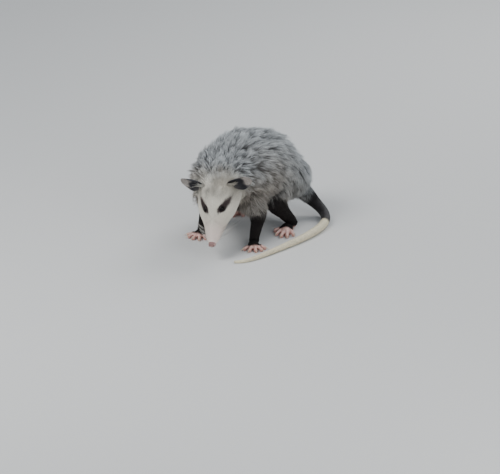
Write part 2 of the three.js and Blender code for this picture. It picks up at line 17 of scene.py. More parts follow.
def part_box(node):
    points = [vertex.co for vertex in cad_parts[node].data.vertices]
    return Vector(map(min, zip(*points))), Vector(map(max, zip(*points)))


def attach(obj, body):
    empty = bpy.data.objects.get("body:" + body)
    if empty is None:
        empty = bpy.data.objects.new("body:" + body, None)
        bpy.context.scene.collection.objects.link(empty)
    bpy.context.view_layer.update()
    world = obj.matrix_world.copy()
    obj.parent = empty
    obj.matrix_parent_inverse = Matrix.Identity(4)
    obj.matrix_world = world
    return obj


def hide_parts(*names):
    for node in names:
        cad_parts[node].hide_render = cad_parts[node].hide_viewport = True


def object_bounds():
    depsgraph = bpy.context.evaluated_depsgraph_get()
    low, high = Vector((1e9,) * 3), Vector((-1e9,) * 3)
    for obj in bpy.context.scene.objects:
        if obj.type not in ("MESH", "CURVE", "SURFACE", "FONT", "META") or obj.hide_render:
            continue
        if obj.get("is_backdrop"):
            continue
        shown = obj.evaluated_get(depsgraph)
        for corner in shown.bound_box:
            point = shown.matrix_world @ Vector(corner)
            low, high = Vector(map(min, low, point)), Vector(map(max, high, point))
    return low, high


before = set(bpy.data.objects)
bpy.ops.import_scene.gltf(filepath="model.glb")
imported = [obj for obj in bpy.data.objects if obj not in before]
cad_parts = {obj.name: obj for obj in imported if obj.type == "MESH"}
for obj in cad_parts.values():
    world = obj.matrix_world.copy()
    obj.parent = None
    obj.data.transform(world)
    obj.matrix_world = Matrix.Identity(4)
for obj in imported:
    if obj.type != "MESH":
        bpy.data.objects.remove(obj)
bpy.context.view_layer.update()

# %% [markdown]
# ## Sizes
# All sizes are in millimetres, in the room of the animal: it faces -Y, and its left side is +X.
# The trunk, legs and tail follow lines of rings. Each ring has a middle and its half sizes:
# to the side, up and down. These are the same rings that the solids were made from.

# %% Sizes of the trunk
MM = 0.001
SIDES = (("left", 1), ("right", -1))

# Each row: middle x, y, z, half width, rise above the middle, drop below it
BODY = [
    (4, 84, 114, 44, 36, 42),
    (-6, 106, 125, 53, 45, 52),
    (-8, 142, 129, 70, 56, 66),
    (-4, 182, 131, 80, 66, 78),
    (6, 220, 131, 84, 71, 84),
    (23, 254, 122, 79, 68, 80),
    (44, 285, 104, 70, 55, 64),
    (66, 307, 80, 53, 42, 44),
    (84, 318, 56, 28, 26, 28),
]
COAT = {"back": 25, "belly": 14, "nape": 0.68, "tail_root": 0.34, "skin": 0.56}
print("trunk in", len(BODY), "rings")

# %% Sizes of the head
NOSE_TIP = np.array([14.0, 0.0, 33.0])
HEAD_TURN, HEAD_PITCH, HEAD_ROLL = (math.radians(v) for v in (9, 46, 11.4))
# Each row: back from the nose, half width, rise, drop, and how much the crown narrows
HEAD = [
    (5, 7.2, 6.2, 8, 0.1),
    (12, 10.6, 9, 12, 0.15),
    (20, 14.2, 11, 14, 0.2),
    (32, 18.5, 13.5, 17, 0.3),
    (45, 23.6, 17, 20, 0.38),
    (57, 29, 21, 23, 0.42),
    (69, 35.5, 25, 26, 0.42),
    (81, 40, 28, 29, 0.36),
    (93, 42, 30, 32, 0.28),
    (105, 41, 31, 34, 0.2),
    (118, 38, 30, 34, 0.1),
    (130, 30, 25, 28, 0),
]
EYE = {"back": 71.5, "above": 18.4, "radius": 5.3, "sunk": 3.2}
MOUTH = {"front": 3, "corner": 66}
NOSE = {"half": 7.4, "height": 5.6, "depth": 7, "wing": 3.3}
EAR = {
    "back": 113, "across": 30, "above": 22, "length": 46,
    "half": 19, "thick": 1.3, "cup": 10, "sunk": 7,
}
print("head", HEAD[-1][0], "mm long, ears", EAR["length"], "mm")

# %% Sizes of the legs, feet and tail
# Joints and the middle of the palm, with the way that the toes point, in degrees
FORELEG = {
    "left": {
        "top": (38, 150, 92), "bend": (54, 160, 50), "end": (60, 116, 14),
        "palm": (64, 102), "turn": 30,
    },
    "right": {
        "top": (-52, 160, 92), "bend": (-64, 186, 50), "end": (-59, 144, 14),
        "palm": (-58, 130), "turn": -14,
    },
    "radii": (25, 17, 10),
}
HINDLEG = {
    "left": {
        "top": (56, 260, 88), "bend": (70, 212, 56), "end": (96, 238, 14),
        "palm": (93, 214), "turn": 12,
    },
    "right": {
        "top": (14, 290, 88), "bend": (-36, 269, 56), "end": (-14, 304, 14),
        "palm": (-30, 288), "turn": -42,
    },
    "radii": (29, 21, 11),
}
FOREFOOT = {
    "half": 12, "length": 13, "height": 15, "toes": (-64, -32, 0, 31, 62),
    "toe_length": 17, "toe_radius": 3.7, "claw": 8, "thumb": None,
}
HINDFOOT = {
    "half": 13.5, "length": 27, "height": 15, "toes": (-24, -8, 10, 30),
    "toe_length": 19, "toe_radius": 3.9, "claw": 8,
    "thumb": {"angle": 78, "length": 17, "back": 4, "radius": 4.4},
}
# Each row: middle x, y, z and radius
TAIL = [
    (84, 318, 58, 15.5),
    (107, 327, 32, 12.4),
    (134, 317, 13.5, 10.4),
    (151, 284, 8.8, 9.2),
    (155, 242, 8.1, 8.5),
    (149, 200, 7.4, 7.8),
    (138, 160, 6.7, 7.1),
    (124, 121, 5.9, 6.3),
    (109, 82, 5.1, 5.5),
    (93, 45, 4.2, 4.6),
    (75, 18, 3.3, 3.7),
    (58, 8, 2.5, 2.8),
]
print("tail in", len(TAIL), "rings")

# %% [markdown]
# ## Lines of rings
# A smooth curve through the rings gives the form at any share of its length. The same line
# later tells where a point of the skin lies: how far along, at which angle, how far outside.

# %% Small helpers
def unit(vectors):
    lengths = np.linalg.norm(vectors, axis=-1, keepdims=True)
    return vectors / np.maximum(lengths, 1e-9)


def blend(value, low, high):
    t = np.clip((value - low) / (high - low), 0, 1)
    return t * t * (3 - 2 * t)


def mix(a, b, share):
    return a + (b - a) * share


def curve_through(rows, t):
    rows = np.asarray(rows, float)
    ends = np.vstack([2 * rows[0] - rows[1], rows, 2 * rows[-1] - rows[-2]])
    i = np.clip(np.floor(t).astype(int), 0, len(rows) - 2)
    f = (t - i)[:, None]
    a, b, c, d = ends[i], ends[i + 1], ends[i + 2], ends[i + 3]
    bend, twist = 2 * a - 5 * b + 4 * c - d, 3 * b - a - 3 * c + d
    return 0.5 * (2 * b + (c - a) * f + bend * f**2 + twist * f**3)


print("halfway through the first two rings:", curve_through(BODY, np.array([0.5]))[0].round(1))

# %% Line of rings
# Points that are compared with a line at a time, to save memory
CHUNK = 20000


class RingLine:
    """Rows of middle x, y, z, half width, rise, drop and narrowing of the crown."""

    def __init__(self, rows, upward, steps=240):
        rows = np.asarray(rows, float)
        t = np.linspace(0, len(rows) - 1, steps)
        middles = curve_through(rows[:, :3], t)
        paces = np.linalg.norm(np.diff(middles, axis=0), axis=1)
        travelled = np.concatenate([[0], np.cumsum(paces)])
        self.length = travelled[-1]
        self.shares = np.linspace(0, 1, steps)
        even = np.interp(self.shares, travelled / self.length, t)
        table = curve_through(rows, even)
        along = unit(np.gradient(table[:, :3], axis=0))
        upward = np.asarray(upward, float)
        up = unit(upward - (along @ upward)[:, None] * along)
        self.table = np.hstack([table, along, up, np.cross(along, up)])
        self.columns = table.shape[1]

    def frame(self, share):
        share = np.clip(share, 0, 1) * (len(self.shares) - 1)
        i = np.clip(share.astype(int), 0, len(self.shares) - 2)
        row = mix(self.table[i], self.table[i + 1], (share - i)[:, None])
        c = self.columns
        crown = row[:, 6] if c > 6 else np.zeros(len(row))
        along, up, side = row[:, c:c + 3], row[:, c + 3:c + 6], row[:, c + 6:c + 9]
        return row[:, :3], row[:, 3:6], crown, along, up, side

    def point(self, share, angle, depth=0.0):
        middle, size, crown, _, up, side = self.frame(share)
        height = np.where(np.sin(angle) > 0, size[:, 1], size[:, 2])
        narrow = 1 - crown * np.maximum(0, np.sin(angle))
        across = (size[:, 0] - depth) * np.cos(angle) * narrow
        return middle + side * across[:, None] + up * ((height - depth) * np.sin(angle))[:, None]

    def locate(self, points):
        """Share, angle and how far outside its ring each point lies."""
        middles = self.table[:, :3].astype(np.float32)
        found = np.empty(len(points), int)
        for start in range(0, len(points), CHUNK):
            part = points[start:start + CHUNK].astype(np.float32)
            gaps = ((part[:, None, :] - middles[None]) ** 2).sum(2)
            found[start:start + CHUNK] = gaps.argmin(1)
        share = self.shares[found]
        middle, size, _, along, up, side = self.frame(share)
        away = points - middle
        x, y, z = ((away * axis).sum(1) for axis in (side, up, along))
        height = np.where(y > 0, size[:, 1], size[:, 2])
        ratio = np.sqrt((x / size[:, 0]) ** 2 + (y / height) ** 2)
        small = np.minimum(size[:, 0], height)
        outside = np.hypot(np.maximum(ratio - 1, 0) * small, z * (ratio < 1.5))
        outside = np.where(ratio < 1, outside + (ratio - 1) * small, outside)
        return share, np.arctan2(y / height, x / size[:, 0]), outside


# %% [markdown]
# ## The lines of this animal
# The trunk and the tail have their lines in the room. The head has its own frame, with x to its
# left, y to its crown and z out of the nose, so that it can be shaped as if it looked straight up.

# %% Lines of this animal
def turned(axis, angle):
    c, s = math.cos(angle), math.sin(angle)
    if axis == "x":
        return np.array([[1, 0, 0], [0, c, -s], [0, s, c]])
    return np.array([[c, -s, 0], [s, c, 0], [0, 0, 1]])


HEAD_AXES = turned("z", HEAD_TURN) @ turned("x", math.pi / 2 + HEAD_PITCH) @ turned("z", HEAD_ROLL)
head_line = RingLine([(0, 0, -back, *sizes) for back, *sizes in HEAD], (0, 1, 0))
body_line = RingLine(BODY, (0, 0, 1))
tail_line = RingLine([(x, y, z, r, r, r) for x, y, z, r in TAIL], (0, 0, 1))
HEAD_SPAN = HEAD[-1][0] - HEAD[0][0]


def from_head(points):
    return points @ HEAD_AXES.T + NOSE_TIP


def to_head(points):
    return (points - NOSE_TIP) @ HEAD_AXES


def on_head(back, above, sign):
    """Place on the side of the head, and the way its skin faces there."""
    share = np.array([(back - HEAD[0][0]) / HEAD_SPAN])
    size = head_line.frame(share)[1][0]
    angle = np.arcsin(np.clip(above / (size[1] if above > 0 else size[2]), -1, 1))
    place = head_line.point(share, angle)[0]
    round_way = head_line.point(share, angle + 0.1)[0] - head_line.point(share, angle - 0.1)[0]
    along = head_line.point(share + 0.02, angle)[0] - head_line.point(share - 0.02, angle)[0]
    normal = unit(np.cross(round_way, along))
    if normal[0] < 0:
        normal = -normal
    mirror = np.array([sign, 1, 1])
    return place * mirror, normal * mirror


print("trunk %.0f mm, tail %.0f mm long" % (body_line.length, tail_line.length))

# %% [markdown]
# ## From the drawing to the floor
# The solids stand with the middle of their footprint at the origin. The eyeballs are whole
# balls, so the middle of their boxes tells how far the drawing was moved to get there.

# %% Where the drawing stands
eye_middles = {}
moves = []
for name, sign in SIDES:
    low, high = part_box("eye_" + name)
    eye_middles[name] = np.array((low + high) / 2) / MM
    place, normal = on_head(EYE["back"], EYE["above"], sign)
    moves.append(eye_middles[name] - from_head(place - normal * EYE["sunk"]))
SHIFT = np.mean(moves, axis=0) * (1, 1, 0)


def to_room(points):
    return (points + SHIFT) * MM


print("moved by", np.round(SHIFT, 2), "eyes differ by", np.round(moves[0] - moves[1], 2))

# %% [markdown]
# ## Mesh helpers
# Each form starts as one of Blender's own balls. Its vertices are read into an array, moved to
# the rings, and written back. That keeps every form closed, which the remesh later needs.

# %% Mesh helpers
def deselect():
    if bpy.context.object and bpy.context.object.mode != "OBJECT":
        bpy.ops.object.mode_set(mode="OBJECT")
    bpy.ops.object.select_all(action="DESELECT")


def pick(*pieces):
    deselect()
    for piece in pieces:
        piece.select_set(True)
    bpy.context.view_layer.objects.active = pieces[0]


def read_points(piece):
    points = np.empty(len(piece.data.vertices) * 3)
    piece.data.vertices.foreach_get("co", points)
    return points.reshape(-1, 3)


def write_points(piece, points):
    piece.data.vertices.foreach_set("co", np.ascontiguousarray(points, float).ravel())
    piece.data.update()


def ball(name, segments=24, rings=16):
    deselect()
    bpy.ops.mesh.primitive_uv_sphere_add(segments=segments, ring_count=rings, radius=1)
    piece = bpy.context.object
    piece.location = (0, 0, 0)
    piece.name = name
    return piece


def oval(name, middle, size, segments=20, rings=14):
    """Ball stretched to a size and moved to its middle, in the drawing's millimetres."""
    piece = ball(name, segments, rings)
    write_points(piece, read_points(piece) * np.array(size) + np.array(middle))
    return piece


def ring_form(name, line, segments, rings, depth=0.0):
    """Ball drawn out along a line of rings, some depth under their outline."""
    piece = ball(name, segments, rings)
    points = read_points(piece)
    row = np.round(np.arccos(np.clip(points[:, 2], -1, 1)) / math.pi * rings)
    share = np.clip((row - 1) / (rings - 2), 0, 1)
    angle = np.arctan2(points[:, 1], points[:, 0])
    under = depth(share, angle) if callable(depth) else depth
    placed = line.point(share, angle, under)
    pole = (row == 0) | (row == rings)
    placed[pole] = line.frame(share)[0][pole]
    write_points(piece, placed)
    return piece


def merge_forms(name, pieces, voxel):
    """Joins closed forms and melts them into one even mesh."""
    pick(*pieces)
    bpy.ops.object.join()
    whole = bpy.context.object
    whole.name = name
    modifier = whole.modifiers.new("melt", "REMESH")
    modifier.mode = "VOXEL"
    modifier.voxel_size = voxel
    bpy.ops.object.modifier_apply(modifier=modifier.name)
    return whole


def smooth_form(piece, factor, repeat):
    pick(piece)
    modifier = piece.modifiers.new("soften", "SMOOTH")
    modifier.factor = factor
    modifier.iterations = repeat
    bpy.ops.object.modifier_apply(modifier=modifier.name)


def triangles(piece):
    return sum(len(p.vertices) - 2 for p in piece.data.polygons)


test_ball = ball("test_ball")
print("a ball has", triangles(test_ball), "triangles")
bpy.data.objects.remove(test_ball)

# %% [markdown]
# ## Trunk, legs and tail
# The skin lies under the outline by a good half of the coat's depth. The trunk and the two
# lengths of each leg overlap as closed forms, and a voxel remesh melts them together. The tail
# is long and thin, so it keeps its own finer form and joins the skin later.

# %% Depth of the coat, and lines of the legs
def coat_depth(share, angle):
    round_way = mix(COAT["belly"], COAT["back"], blend(np.sin(angle), -0.9, 0.3))
    front = mix(COAT["nape"], 1, blend(share, 0, 0.35))
    return round_way * front * mix(1, COAT["tail_root"], blend(share, 0.8, 1))


def skin_depth(share, angle):
    return COAT["skin"] * coat_depth(share, angle)


def limb_line(start, end, radii):
    start, end = np.array(start, float), np.array(end, float)
    way = unit(end - start)
    rows = [
        (start - way * radii[0] * 0.8, radii[0] * 0.32),
        (start - way * radii[0] * 0.3, radii[0] * 0.88),
        (mix(start, end, 0.5), mix(radii[0], radii[1], 0.62)),
        (end + way * radii[1] * 0.1, radii[1]),
        (end + way * radii[1] * 0.7, radii[1] * 0.5),
    ]
    return RingLine([(*at, r, r, r) for at, r in rows], (0, -1, 0.2), steps=60)


LEG_FUR = {"upper": 4.0, "lower": 1.6}
leg_lines = {}
for kind, plan in (("fore", FORELEG), ("hind", HINDLEG)):
    top_radius, bend_radius, end_radius = plan["radii"]
    for name, _ in SIDES:
        leg = plan[name]
        upper_radii, lower_radii = (top_radius, bend_radius), (bend_radius * 0.95, end_radius)
        leg_lines[f"{kind}_{name}_upper"] = limb_line(leg["top"], leg["bend"], upper_radii)
        leg_lines[f"{kind}_{name}_lower"] = limb_line(leg["bend"], leg["end"], lower_radii)
print("lines of", len(leg_lines), "lengths of leg")

# %% Forms of the trunk, legs and tail
BODY_VOXEL = 3.0
forms = [ring_form("trunk", body_line, 48, 48, skin_depth)]
for name, line in leg_lines.items():
    fur = LEG_FUR["upper" if name.endswith("upper") else "lower"]
    forms.append(ring_form(name, line, 24, 20, fur))
body_form = merge_forms("body_form", forms, BODY_VOXEL)
smooth_form(body_form, 0.5, 4)
tail_form = ring_form("tail", tail_line, 28, 130, 0.3)
print("body form", triangles(body_form), "triangles, tail", triangles(tail_form))

# %% [markdown]
# ## Head and ears
# The ears are balls pressed to thin leaves and bent to cups. They stay out of the remesh, which
# would fray so thin an edge, and join the skin later. The head is drawn out along its own line,
# a little under the outline of its short fur, and melts together with the pad of the nose.

# %% Ears
def ear_frame(sign):
    """Root of an ear in the frame of the head, and its ways: out, across the leaf and off it."""
    root = np.array([sign * (EAR["across"] - EAR["sunk"]), EAR["above"], -EAR["back"]])
    out = unit(np.array([sign * 0.96, 0.12, -0.24]))
    face = unit(np.array([sign * 0.16, 0.12, 0.98]))
    return root, out, unit(np.cross(face, out)), face


def ear_bowl(share, across):
    """How deep the cup of an ear lies behind its rim."""
    trough = 1 - (across / EAR["half"]) ** 2
    return EAR["cup"] * trough * np.sin(math.pi * (0.18 + 0.72 * share))


def ear_form(name, sign):
    piece = ball(name, 56, 44)
    points = read_points(piece)[:, [2, 0, 1]]
    share = (points[:, 0] + 1) / 2
    round_way = np.sqrt(np.maximum(0, 1 - points[:, 0] ** 2))
    safe = np.maximum(round_way, 1e-6)
    half = EAR["half"] * round_way**0.8 * mix(0.72, 1.06, blend(share, 0, 0.6))
    thick = EAR["thick"] * (0.35 + 0.65 * round_way) * round_way
    reach = share * (EAR["length"] + EAR["sunk"])
    across = points[:, 1] / safe * half
    off = points[:, 2] / safe * thick - ear_bowl(share, across)
    root, out, wide, face = ear_frame(sign)
    placed = root + out * reach[:, None] + wide * across[:, None]
    placed += face * off[:, None]
    write_points(piece, from_head(placed))
    return piece


ear_forms = [ear_form("ear_form_" + name, sign) for name, sign in SIDES]
print("ear form", triangles(ear_forms[0]), "triangles")

# %% Skull and nose
HEAD_VOXEL = 1.13


def face_fur(share, angle):
    return mix(0.5, 1.4, blend(share, 0.1, 0.6))


head_forms = [
    ring_form("skull", head_line, 72, 72, face_fur),
    oval("pad", (0, -0.5, -4.5), (NOSE["half"] - 0.6, NOSE["height"], NOSE["depth"])),
]
wing_size = (NOSE["wing"], NOSE["wing"] + 0.6, NOSE["wing"] + 1.2)
for _, sign in SIDES:
    head_forms.append(oval("wing", (sign * (NOSE["half"] - NOSE["wing"]), -0.8, -3.4), wing_size))
for form in head_forms:
    write_points(form, from_head(read_points(form)))
head_form = merge_forms("head_form", head_forms, HEAD_VOXEL)
smooth_form(head_form, 0.5, 2)
print("head form", triangles(head_form), "triangles")

# %% [markdown]
# ## Feet
# Each foot has a low palm, spread toes with a swelling at each joint, and a round pad under
# each tip. A wrist reaches up into the leg, and soles are flattened onto the floor later.

# %% Toes
# Rings of a toe: share of its length, or millimetres where that is negative, height of the
# middle above the radius, and thickness to the radius
TOE_RINGS = [
    (-5, 3, 1.0), (0.18, 2.8, 0.9), (0.38, 2.6, 0.98), (0.55, 1.7, 0.82),
    (0.74, 0.9, 0.88), (0.92, -0.2, 1.02), (1.05, -0.5, 0.5),
]
# Rings of a claw: share of the toe's length, height above its radius, and radius of the claw
CLAW_RINGS = [(0.84, 1.0, 1.7), (0.98, 1.5, 1.45), (1.14, 0.9, 1.0), (1.27, -0.6, 0.62)]
CLAW_TIP = {"height": 1.0, "radius": 0.25}


def toe_line(root, way, length, radius):
    placed = []
    for reach, lift, share in TOE_RINGS:
        at = root + way * (reach if reach < 0 else reach * length)
        thick = radius * share
        placed.append((at[0], at[1], radius + lift, thick, thick, thick))
    return RingLine(placed, (0, 0, 1), steps=60)


def claw_line(root, way, length, radius, claw):
    rows = [(share, radius + lift, thick) for share, lift, thick in CLAW_RINGS]
    rows.append((1 + claw / length, CLAW_TIP["height"], CLAW_TIP["radius"]))
    placed = []
    for share, height, thick in rows:
        at = root + way * share * length
        placed.append((at[0], at[1], height, thick * 0.8, thick, thick))
    return RingLine(placed, (0, 0, 1), steps=40)


def toe_plan(foot, sign):
    """Root, heading, length and radius of each toe, and whether it has a claw."""
    plan = []
    for i, angle in enumerate(foot["toes"]):
        spread = (i / (len(foot["toes"]) - 1) - 0.5) * 2
        ahead = foot["length"] * (0.78 - 0.3 * spread**2)
        root = np.array([sign * spread * foot["half"] * 0.72, ahead, 0])
        length = foot["toe_length"] * (1 - 0.14 * spread**2)
        plan.append((root, sign * math.radians(angle), length, foot["toe_radius"], True))
    thumb = foot["thumb"]
    if thumb:
        root = np.array([-sign * foot["half"] * 0.5, thumb["back"], 0])
        heading = -sign * math.radians(thumb["angle"])
        plan.append((root, heading, thumb["length"], thumb["radius"], False))
    return plan


print("toes of a hind foot:", len(toe_plan(HINDFOOT, 1)))

# %% Feet and claws
FOOT_VOXEL = 1.15
foot_places = []
foot_forms = []
claw_forms = []
for kind, plan, foot in (("fore", FORELEG, FOREFOOT), ("hind", HINDLEG, HINDFOOT)):
    for name, sign in SIDES:
        axes = turned("z", math.pi + math.radians(plan[name]["turn"]))
        palm = np.array([*plan[name]["palm"], 0.0])
        foot_places.append((palm, axes, foot))
        parts = [oval("palm", (0, 0, 2), (foot["half"], foot["length"], foot["height"] - 2))]
        claws = []
        for root, heading, length, radius, clawed in toe_plan(foot, -sign):
            way = np.array([math.sin(heading), math.cos(heading), 0])
            parts.append(ring_form("toe", toe_line(root, way, length, radius), 14, 22))
            tip = root + way * length * 0.9
            pad_size = (radius * 0.95, radius * 1.15, 2.4)
            parts.append(oval("pad", (tip[0], tip[1], 1.6), pad_size, segments=12, rings=8))
            if clawed:
                line = claw_line(root, way, length, radius, foot["claw"])
                claws.append(ring_form("claw", line, 10, 12))
        for part in parts + claws:
            write_points(part, read_points(part) @ axes.T + palm)
        end = plan[name]["end"]
        thick = plan["radii"][2] * 0.92
        foot_forms += parts
        foot_forms.append(oval("wrist", (end[0], end[1], end[2] - 3), (thick, thick * 1.15, thick)))
        claw_forms += claws
foot_form = merge_forms("foot_form", foot_forms, FOOT_VOXEL)
smooth_form(foot_form, 0.5, 2)
print("feet", triangles(foot_form), "triangles,", len(claw_forms), "claws")

# %% [markdown]
# ## Face
# The smooth head is shaped by moving its points in its own frame, where z leads out of the
# nose. Faces near the eyes, nose and mouth are divided first, so that a lid or a lip has points
# enough to bend. Then come the sockets with their lids, the line of the mouth and the nostrils.

# %% Landmarks of the face
eye_in_head = {name: to_head(middle - SHIFT) for name, middle in eye_middles.items()}
eye_normals = {name: on_head(EYE["back"], EYE["above"], sign)[1] for name, sign in SIDES}


def eye_axes(name, sign):
    """Ways in the skin at an eye: back along the dark patch, and across it."""
    normal = eye_normals[name]
    behind = np.array([sign * 0.75, 0, -1.0])
    behind = unit(behind - (behind @ normal) * normal)
    return behind, np.cross(normal, behind), normal


def mouth_height(back):
    return -4.6 - 3.2 * np.sin(math.pi * blend(back, MOUTH["front"] - 8, MOUTH["corner"] + 14))


def mouth_open(back):
    """1 where the lips part, 0 before the nose and behind the corner of the mouth."""
    return blend(back, -6, 0) * (1 - blend(back, MOUTH["corner"] - 6, MOUTH["corner"] + 1))


def nostril(sign):
    return np.array([sign * (NOSE["half"] - 3.0), -0.2, 0.9])


def dent(distance, width):
    """1 at no distance, fading softly over a width."""
    return np.exp(-((distance / width) ** 2))


print("eyes in the head at", {name: at.round(1).tolist() for name, at in eye_in_head.items()})

# %% Divide the face where it needs detail
def divide_near(piece, chosen):
    """Divides the faces whose middle is chosen, in edit mode."""
    pick(piece)
    bpy.ops.object.mode_set(mode="EDIT")
    bpy.ops.mesh.select_mode(type="FACE")
    bpy.ops.mesh.select_all(action="DESELECT")
    bpy.ops.object.mode_set(mode="OBJECT")
    middles = np.empty(len(piece.data.polygons) * 3)
    piece.data.polygons.foreach_get("center", middles)
    piece.data.polygons.foreach_set("select", chosen(to_head(middles.reshape(-1, 3))))
    bpy.ops.object.mode_set(mode="EDIT")
    bpy.ops.mesh.subdivide(number_cuts=1, smoothness=0)
    bpy.ops.object.mode_set(mode="OBJECT")


def near_eyes(p, reach):
    gaps = [np.linalg.norm(p - middle, axis=1) for middle in eye_in_head.values()]
    return np.min(gaps, axis=0) < reach


def near_detail(p):
    back = -p[:, 2]
    near_mouth = (np.abs(p[:, 1] - mouth_height(back)) < 3.2) & (back < MOUTH["corner"] + 6)
    return (back < 12) | near_mouth | near_eyes(p, 13)


def near_features(p):
    return (p[:, 2] > -4.5) | near_eyes(p, 8.5)


for chosen in (near_detail, near_features):
    divide_near(head_form, chosen)
print("head divided:", triangles(head_form), "triangles")

# %% Lids and sockets
LID = {"long": 5.3, "high": 3.9, "rim": 0.9}
SOCKET_DEPTH = 5.5


def shape_lids(p, name, sign):
    middle, normal = eye_in_head[name], eye_normals[name]
    behind, across, _ = eye_axes(name, sign)
    away = p - middle
    a, b, out = away @ -behind, away @ across, away @ normal
    near = (np.linalg.norm(away, axis=1) < 20) & (out > -2)
    ring = np.hypot(a / LID["long"], b / LID["high"])
    # The lid lies on the ball round its opening and runs out into the cheek
    distance = np.hypot(a, b)
    lid_radius = EYE["radius"] + LID["rim"]
    on_ball = np.sqrt(np.maximum(lid_radius**2 - distance**2, 0))
    rim = np.where(distance < lid_radius, on_ball, 0)
    pull = near * np.clip(1 - blend(ring, 1.15, 2.2), 0, 1)
    p += normal * ((np.maximum(out, rim) - out) * pull)[:, None]
    # Inside the opening the skin goes behind the ball
    opening = near * (1 - blend(ring, 0.8, 0.98))
    p -= normal * (SOCKET_DEPTH * opening)[:, None]
    # A crease over the upper lid and a shallow hollow towards the nose
    crease = dent(ring - 1.6, 0.16) * near * (b * np.sign(across[1]) > -1)
    p -= normal * (0.5 * crease)[:, None]
    hollow = dent(np.hypot(a - 10, b * 1.4), 6) * near
    p -= normal * (1.0 * hollow)[:, None]


head_points = to_head(read_points(head_form))
for name, sign in SIDES:
    shape_lids(head_points, name, sign)
print("lids", LID["long"] * 2, "by", LID["high"] * 2, "mm open")

# %% Mouth and cheeks
LIPS = {"groove": 2.4, "upper": 0.8, "lower": 0.45, "jaw": 1.2}


def shape_mouth(p):
    back = -p[:, 2]
    middle_line = np.stack([0 * back, mouth_height(back) * 0.6, p[:, 2]], axis=1)
    outward = unit(p - middle_line)
    above = p[:, 1] - mouth_height(back)
    open_part = mouth_open(back)
    under_nose = p[:, 1] < 3
    groove = dent(above, 0.75) * open_part * under_nose
    upper_lip = dent(above - 2.3, 1.7) * open_part * under_nose
    lower_lip = dent(above + 1.9, 1.3) * open_part * under_nose
    jaw = blend(-above, 0, 1.2) * open_part * blend(back, 2, 10)
    lips = LIPS["upper"] * upper_lip + LIPS["lower"] * lower_lip
    p += outward * (lips - LIPS["groove"] * groove - LIPS["jaw"] * jaw)[:, None]


def shape_cheeks(p):
    """Swellings that carry the whiskers, and the long hollow between cheek and muzzle."""
    for _, sign in SIDES:
        swelling = np.linalg.norm((p - np.array([sign * 11, -1, -24])) / (1, 0.8, 2), axis=1)
        p[:, 0] += sign * 0.9 * dent(swelling, 7)
        hollow = np.linalg.norm((p - np.array([sign * 20, 3, -50])) / (1, 1, 2.2), axis=1)
        p[:, 0] -= sign * 1.1 * dent(hollow, 8)


lips_back = -head_points[:, 2]
shape_mouth(head_points)
shape_cheeks(head_points)
print("mouth", MOUTH["corner"] - MOUTH["front"], "mm long")

# %% Nostrils
NOSTRIL = np.array([1.15, 1.45, 2.4])
NOSTRIL_DEPTH = 3.0


def shape_nose(p, back):
    """Nostrils open to the side, with a groove between them and a crease behind the pad."""
    for _, sign in SIDES:
        hole = dent(np.linalg.norm((p - nostril(sign)) / NOSTRIL, axis=1), 1.0)
        p[:, 2] -= NOSTRIL_DEPTH * hole
        p[:, 0] -= sign * 0.8 * hole
        beside = p - nostril(sign) - (sign * 1.9, 0.5, -1.8)
        slit = dent(np.linalg.norm(beside / (1.5, 0.5, 1.3), axis=1), 1.1)
        p[:, 0] -= sign * 1.2 * slit
    groove = dent(p[:, 0], 0.5) * (p[:, 2] > -4) * (p[:, 1] < 2.5)
    p[:, 2] -= 0.8 * groove
    crease = dent(back - 7.2, 0.9) * blend(p[:, 1], -3, 1)
    p[:, 1] -= 0.7 * crease


shape_nose(head_points, lips_back)
write_points(head_form, from_head(head_points))
print("nostrils", NOSTRIL_DEPTH, "mm deep")

# %% [markdown]
# ## One skin
# Trunk, tail, head, feet and ears become one closed surface, so that no seam shows where they
# meet. What would be under the floor is laid on it, as soles and tail rest there.

# %% One skin
def cut_to_triangles(piece):
    pick(piece)
    modifier = piece.modifiers.new("cut", "TRIANGULATE")
    bpy.ops.object.modifier_apply(modifier=modifier.name)


def unite(whole, part):
    pick(whole)
    modifier = whole.modifiers.new("unite", "BOOLEAN")
    modifier.operation = "UNION"
    modifier.solver = "MANIFOLD"
    modifier.object = part
    bpy.ops.object.modifier_apply(modifier=modifier.name)
    bpy.data.objects.remove(part)


skin = body_form
skin.name = "skin"
others = (tail_form, head_form, foot_form, *ear_forms)
for form in (skin, *others):
    cut_to_triangles(form)
for form in others:
    unite(skin, form)
cut_to_triangles(skin)
skin.data.materials.clear()
points = read_points(skin)
points[:, 2] = np.maximum(points[:, 2], 0)
skin_mm = points.copy()
print("skin", triangles(skin), "triangles")

# %% [markdown]
# ## Which part is a point on?
# Markings, hair length and lie all depend on the part of the body. Every point gets a weight
# for each part: near one on it, fading to nothing a few millimetres away from it.

# %% How far a point lies outside each part
PARTS = ["trunk", "head", "ear", "upper", "lower", "foot", "tail"]
# Millimetres along and across a foot that count as a share of 1
FOOT_SPAN, FOOT_SPREAD = 60, 20


def nearest_of(rows):
    """Each point takes its columns from the row whose third column is the smallest there."""
    best = rows[0]
    for row in rows[1:]:
        nearer = row[2] < best[2]
        best = [np.where(nearer, new, old) for new, old in zip(row, best)]
    return tuple(best)


def ear_place(head_points, sign):
    """Along, across and off the leaf of an ear, in millimetres."""
    root, out, wide, face = ear_frame(sign)
    away = head_points - root
    return away @ out - EAR["sunk"], away @ wide, away @ face


